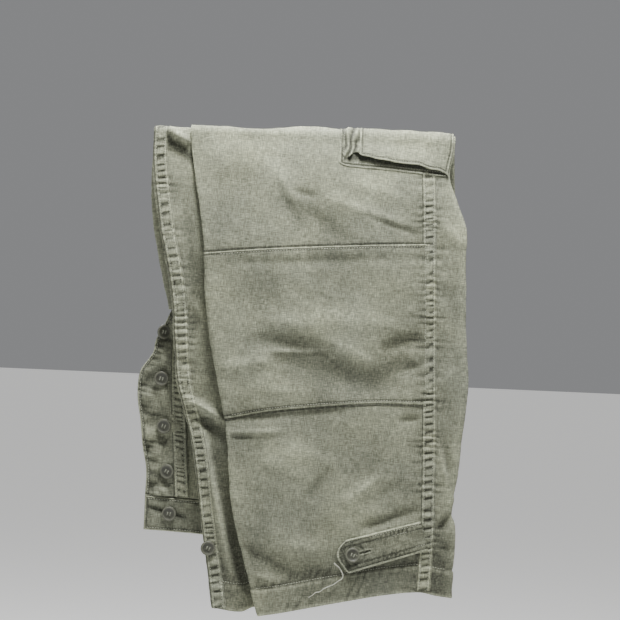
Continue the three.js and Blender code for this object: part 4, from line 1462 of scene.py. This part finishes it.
def band_points(leg, fly_x, c, t, out):
    """Points of the waistband: c as in panel_points, t from the waist seam to the band's free edge."""
    x = np.where(c < 1, mix(fly_x, 150.0, np.clip(c, 0, 1)), 150.0)
    q = down(leg, -waist_seam(x) - t * WAISTBAND)
    run = run_of(leg, q)
    outer, inner = leg.outer(run), leg.inner(run)
    tip = TIP * np.abs(outer - inner) / 2
    turn = np.pi * np.clip(c - 1, 0, 1)
    near = leg.back(run) - tip
    x = np.where(c < 1, mix(fly_x, near, np.clip(c, 0, 1)), mix(near, WAIST_BACK, np.clip(c - 2, 0, 1)))
    x = np.where((c >= 1) & (c <= 2), leg.back(run) - tip * (1 - np.sin(turn)), x)
    share = (1 - np.cos(turn)) / 2
    height = CLOTH / 2 + out + mix(broad_relief(leg, "outer", x, q), broad_relief(leg, "inner", x, q), share)
    lift = mix(outer, inner, share) + leg.outward * np.cos(turn) * height
    points, away = hang(leg, x + np.sin(turn) * height, lift, q)
    sideways = np.stack([np.sin(turn) + 0 * x, 0 * x, 0 * x], -1)
    outward = leg.outward * (np.cos(turn) + 0 * x)[..., None] * away + sideways
    return points, outward, 0 * x, np.stack([x + 0 * q, q + 0 * x], -1)


def belt_loop(leg, number):
    """A strap that bridges the waistband and stands off it in the middle."""
    name = f"{leg.side}_belt_loop_{number}"
    low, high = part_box(name)
    centre = (low.x + high.x) / 2 / MM
    seam = float(waist_seam(centre))
    along = np.linspace(-5, WAISTBAND + 5, 60)[:, None]
    half = 5.5
    across = np.linspace(-half, half, 15)[None]
    foot = smooth((np.minimum(along + 5, WAISTBAND + 5 - along) - 5) / 4)
    crown = 0.5 * (1 - (across / half) ** 4)
    out = 0.3 + 2.9 * foot + crown + DOUBLE * 0.6
    # Pale worn edges, and painted shade along the needle lines.
    wear_and_shading = 0.9 * bell(np.abs(across) - 5.0, 0.6) - 0.6 * bell(np.abs(across) - 3.4, 0.5)
    q = down(leg, -seam - along)
    x = centre + across + 0 * along
    points, outward = on_face(leg, "outer", x, q + 0 * across, out, fine=False)
    flat = np.stack([x + 1300, q + 0 * across], -1)
    riding(sheet(name, [(points, outward, wear_and_shading + 0 * along, flat)], OLIVE, 1.1), "hips", name)
    columns = (3, 11)  # the points of the grid nearest to the two needle lines
    return [(points[2:-2, column], outward[2:-2, 0]) for column in columns]


def hip_pocket(leg):
    """The slanted mouth of a hip pocket, its edge turned and stitched, and the lining bag behind it."""
    half, facing = HIP_SLIT.length / 2, 17
    s = fine_ends(HIP_SLIT.length, 1.5)[:, None] * HIP_SLIT.length - half
    w = fine_ends(facing, 0.9, 0.4, 4)[None] * facing - facing
    x, q = slit_place(leg, s, w)
    far = np.minimum(-w, half - np.abs(s))
    rope = pucker(s + 0.3 * w, w + 5, 731, 8.0, 6.0)
    rise = edge_profile(far, CLOTH * 1.2) + 0.4 * rope
    rise = rise + 0.8 * smooth((w + 4) / 4) - 0.9 * smooth((-w - 12) / 5)
    # Pale worn edge, with painted shade at the needle line and in the puckers.
    wear_and_shading = edge_wear_and_groove_shade(far) + 0.6 * rope
    points, outward = on_face(leg, "outer", x, q, rise, fine=False)
    flat = np.stack([w + 1500 + 0 * s, s + 0 * w], -1)
    riding(sheet(f"{leg.side}_hip_pocket_edge", [(points, outward, wear_and_shading, flat)], OLIVE, 0.6), "hips")
    hip_bag(leg)
    along = np.arange(4 - half, half - 4, 1.0)
    lines = []
    for inset in (3.0, 9.0):
        x, q = slit_place(leg, along, -inset)
        lines.append(edge_line(leg, x, q, CLOTH + 0.2))
    return lines


def slit_place(leg, s, w):
    """(x, q) at a place s along the slanted mouth of a hip pocket and w across it."""
    x = HIP_SLIT.x + s * math.sin(HIP_SLIT.lean) + w * math.cos(HIP_SLIT.lean)
    z = HIP_SLIT.z + s * math.cos(HIP_SLIT.lean) - w * math.sin(HIP_SLIT.lean)
    return x, down(leg, z)


def hip_bag(leg):
    """The lining bag behind a hip pocket's mouth. Its rounded bottom is towards the thigh."""
    left, right = curve((-395, -60), (-215, -52)), curve((-395, 30), (-300, 70), (-215, 62))
    bottom = curve((-52, 215), (20, 198), (62, 215))

    def shape(x, q, far):
        return 0.5 * noise(x, q, 40, 733) * smooth(far / 9), 0

    bag = laid_grid(leg, left, right, level(leg, -395), lambda x: down(leg, -bottom(x)), 0.5, 0.4, 3.0,
                    under=True, shape=shape)
    riding(sheet(f"{leg.side}_pocket_bag", [bag], LINING, 0.5), "hips", f"{leg.side}_hip_pocket_bag",
           slot="lining_cotton")


def back_pocket(leg):
    """The patch pocket on the seat. Its mouth is by the waistband, and its point is towards the thigh."""
    name = f"{leg.side}_back_pocket"
    shift = 0 if leg.side == "left" else -14
    left = curve((-395, 66 + shift), (-282, 96 + shift))
    right = curve((-395, 156 + shift), (-290, 159 + shift))
    point = curve((96 + shift, 282), (128 + shift, 268), (159 + shift, 290))

    def end(x):
        return down(leg, -point(x))

    def shape(x, q, far):
        rope = pucker(x + q, far - 4, 741, 8.0, 6.0)
        # Painted shade in the puckers and along the inner needle row.
        return 0.3 * rope + 0.3 * noise(x, q, 30, 742), 0.5 * rope - 0.4 * bell(far - 8.5, 0.7)

    grid = laid_grid(leg, left, right, level(leg, -395), end, 0.1, CLOTH, 1.8, shape=shape)
    riding(sheet(name, [grid], OLIVE, 0.5), "hips", name)
    lines = []
    for inset in (3.0, 8.5):
        q = np.arange(down(leg, -395) + 2, down(leg, -292), 1.0)
        for edge, sign in ((left, 1), (right, -1)):
            lines.append(edge_line(leg, edge(run_of(leg, q)) + sign * inset, q, CLOTH - 0.1))
        x = np.arange(96 + shift + inset, 158 + shift - inset, 1.0)
        lines.append(edge_line(leg, x, end(x) - inset, CLOTH - 0.1))
    return lines


def buttonhole_strip():
    """The strip of two plies inside the left front that carries the fly's buttonholes."""
    leg = LEFT
    holes = (250, 292, 334, 376)
    edge = curve((-396, -150), (-290, -150), (-240, -146), (-226, -142))
    tip = curve((-146, 228), (-130, 214), (-113, 232))

    def shape(x, q, far):
        run = -run_of(leg, q)
        rise, wear_and_shading = 0.4 * noise(x, q, 24, 751), 0.0
        for hole in holes:
            more, shading_and_wear = buttonhole(x + 133, run - hole, 9)
            rise, wear_and_shading = rise + more, wear_and_shading + shading_and_wear
        return rise, wear_and_shading

    grid = laid_grid(leg, edge, constant(-113), level(leg, -396), lambda x: down(leg, -tip(x)), 0.5,
                     DOUBLE * 0.9, 1.3, under=True, shape=shape)
    riding(sheet("buttonhole_strip_cloth", [grid], OLIVE, 0.9), "buttonhole_strip", "fly_buttonhole_strip")


# ---- Build ----

def build_leg(leg):
    leg_panel(leg, -1)
    leg_panel(leg, 1)
    knee_patch(leg)
    lines = leg_seams(leg) + patch_lines(leg) + hem_lines(leg)
    across_fold(stitches(f"{leg.side}_leg_stitching", lines), leg, f"{leg.side}_leg_fold_over")
    hem_tab(leg)
    sewn_button(f"{leg.side}_hem_spare_button", leg.body, leg, "inner", seat=2.2, spin=0.4, turn=(0.15, 0.1))
    cargo_flap(leg)


def build_hips():
    lines = fly_column()
    for leg in LEGS.values():
        lines += waistband(leg) + hip_pocket(leg) + back_pocket(leg)
        for number in (1, 2, 3):
            lines += belt_loop(leg, number)
    riding(stitches("hips_stitching", lines), "hips", "right_leg_bar_seat")
    fly_stand()
    buttonhole_strip()
    sewn_button("waistband_button", "hips", RIGHT, "outer", seat=FLY_SEAT, spin=0.2, turn=(-0.1, 0.1))


for leg in LEGS.values():
    build_leg(leg)
left_cargo_pocket()
right_cargo_pocket()
build_hips()
loose_thread(LEFT)


# ---- Stage ----

PALE = (0.80, 0.80, 0.79, 1)
SKY = (0.80, 0.81, 0.83, 1)
FLOOR_GLOW = 0.65  # the floor's extra brightness, for the camera only
SKY_LIGHT, SKY_SEEN = 0.12, 0.30  # how bright the backdrop is to the cloth, and to the camera
LIGHTS = [  # (name, place, size, power) in metres and watts
    ("key", (0.12, -0.55, 1.35), 0.6, 73),
    ("fill", (-1.3, -1.1, 0.3), 1.2, 3),
    ("back", (-0.35, 0.75, 1.3), 0.6, 42),
]
VIEW = SimpleNamespace(lens=135, sensor=36, width=0.682, x=0.0131, below_axis=0.1898, near=0.012,
                       roll=math.radians(2.47))  # width is how much is in view at the nearest cloth


def area_light(name, place, size, power):
    """A round lamp that faces the middle of the trousers."""
    data = bpy.data.lights.new(name, "AREA")
    data.shape = "DISK"
    data.size = size
    data.energy = power
    light = linked(name, data)
    light.location = place
    light.rotation_mode = "QUATERNION"
    middle = (CAD_BOUNDS[0] + CAD_BOUNDS[1]) / 2
    light.rotation_quaternion = (middle - Vector(place)).to_track_quat("-Z", "Y")


def seen_by_camera(tree):
    return node(tree, "ShaderNodeLightPath").outputs["Is Camera Ray"]


def stage():
    """A plain pale floor, a plain backdrop and three soft lamps."""
    bpy.ops.mesh.primitive_plane_add(size=40, location=(0, 0, CAD_BOUNDS[0].z - 0.35))
    floor = bpy.context.object
    floor.name = "floor"
    material, tree, surface = shader("pale_floor")
    glow = combined(tree, seen_by_camera(tree), FLOOR_GLOW, "MULTIPLY")
    feed(tree, surface, {"Base Color": PALE, "Roughness": 0.9})
    feed(tree, surface, {"Emission Color": PALE, "Emission Strength": glow})
    floor.data.materials.append(material)
    world = bpy.data.worlds.new("studio")
    bpy.context.scene.world = world
    world.use_nodes = True
    tree = world.node_tree
    strength = spread(tree, seen_by_camera(tree), SKY_LIGHT, SKY_SEEN, 0.0, 1.0)
    feed(tree, tree.nodes["Background"], {"Color": SKY, "Strength": strength})
    for lamp in LIGHTS:
        area_light(*lamp)


def camera():
    """The photograph's viewpoint: square on, rolled a little so that the bar slopes down to the right."""
    data = bpy.data.cameras.new("camera")
    data.lens = VIEW.lens
    data.sensor_width = VIEW.sensor
    view = linked("camera", data)
    distance = VIEW.width / 2 * VIEW.lens / (VIEW.sensor / 2)
    view.location = (VIEW.x, CAD_BOUNDS[0].y - distance + VIEW.near, AXIS_Z * MM - VIEW.below_axis)
    view.rotation_euler = (math.pi / 2, -VIEW.roll, 0)
    bpy.context.scene.camera = view


stage()
camera()
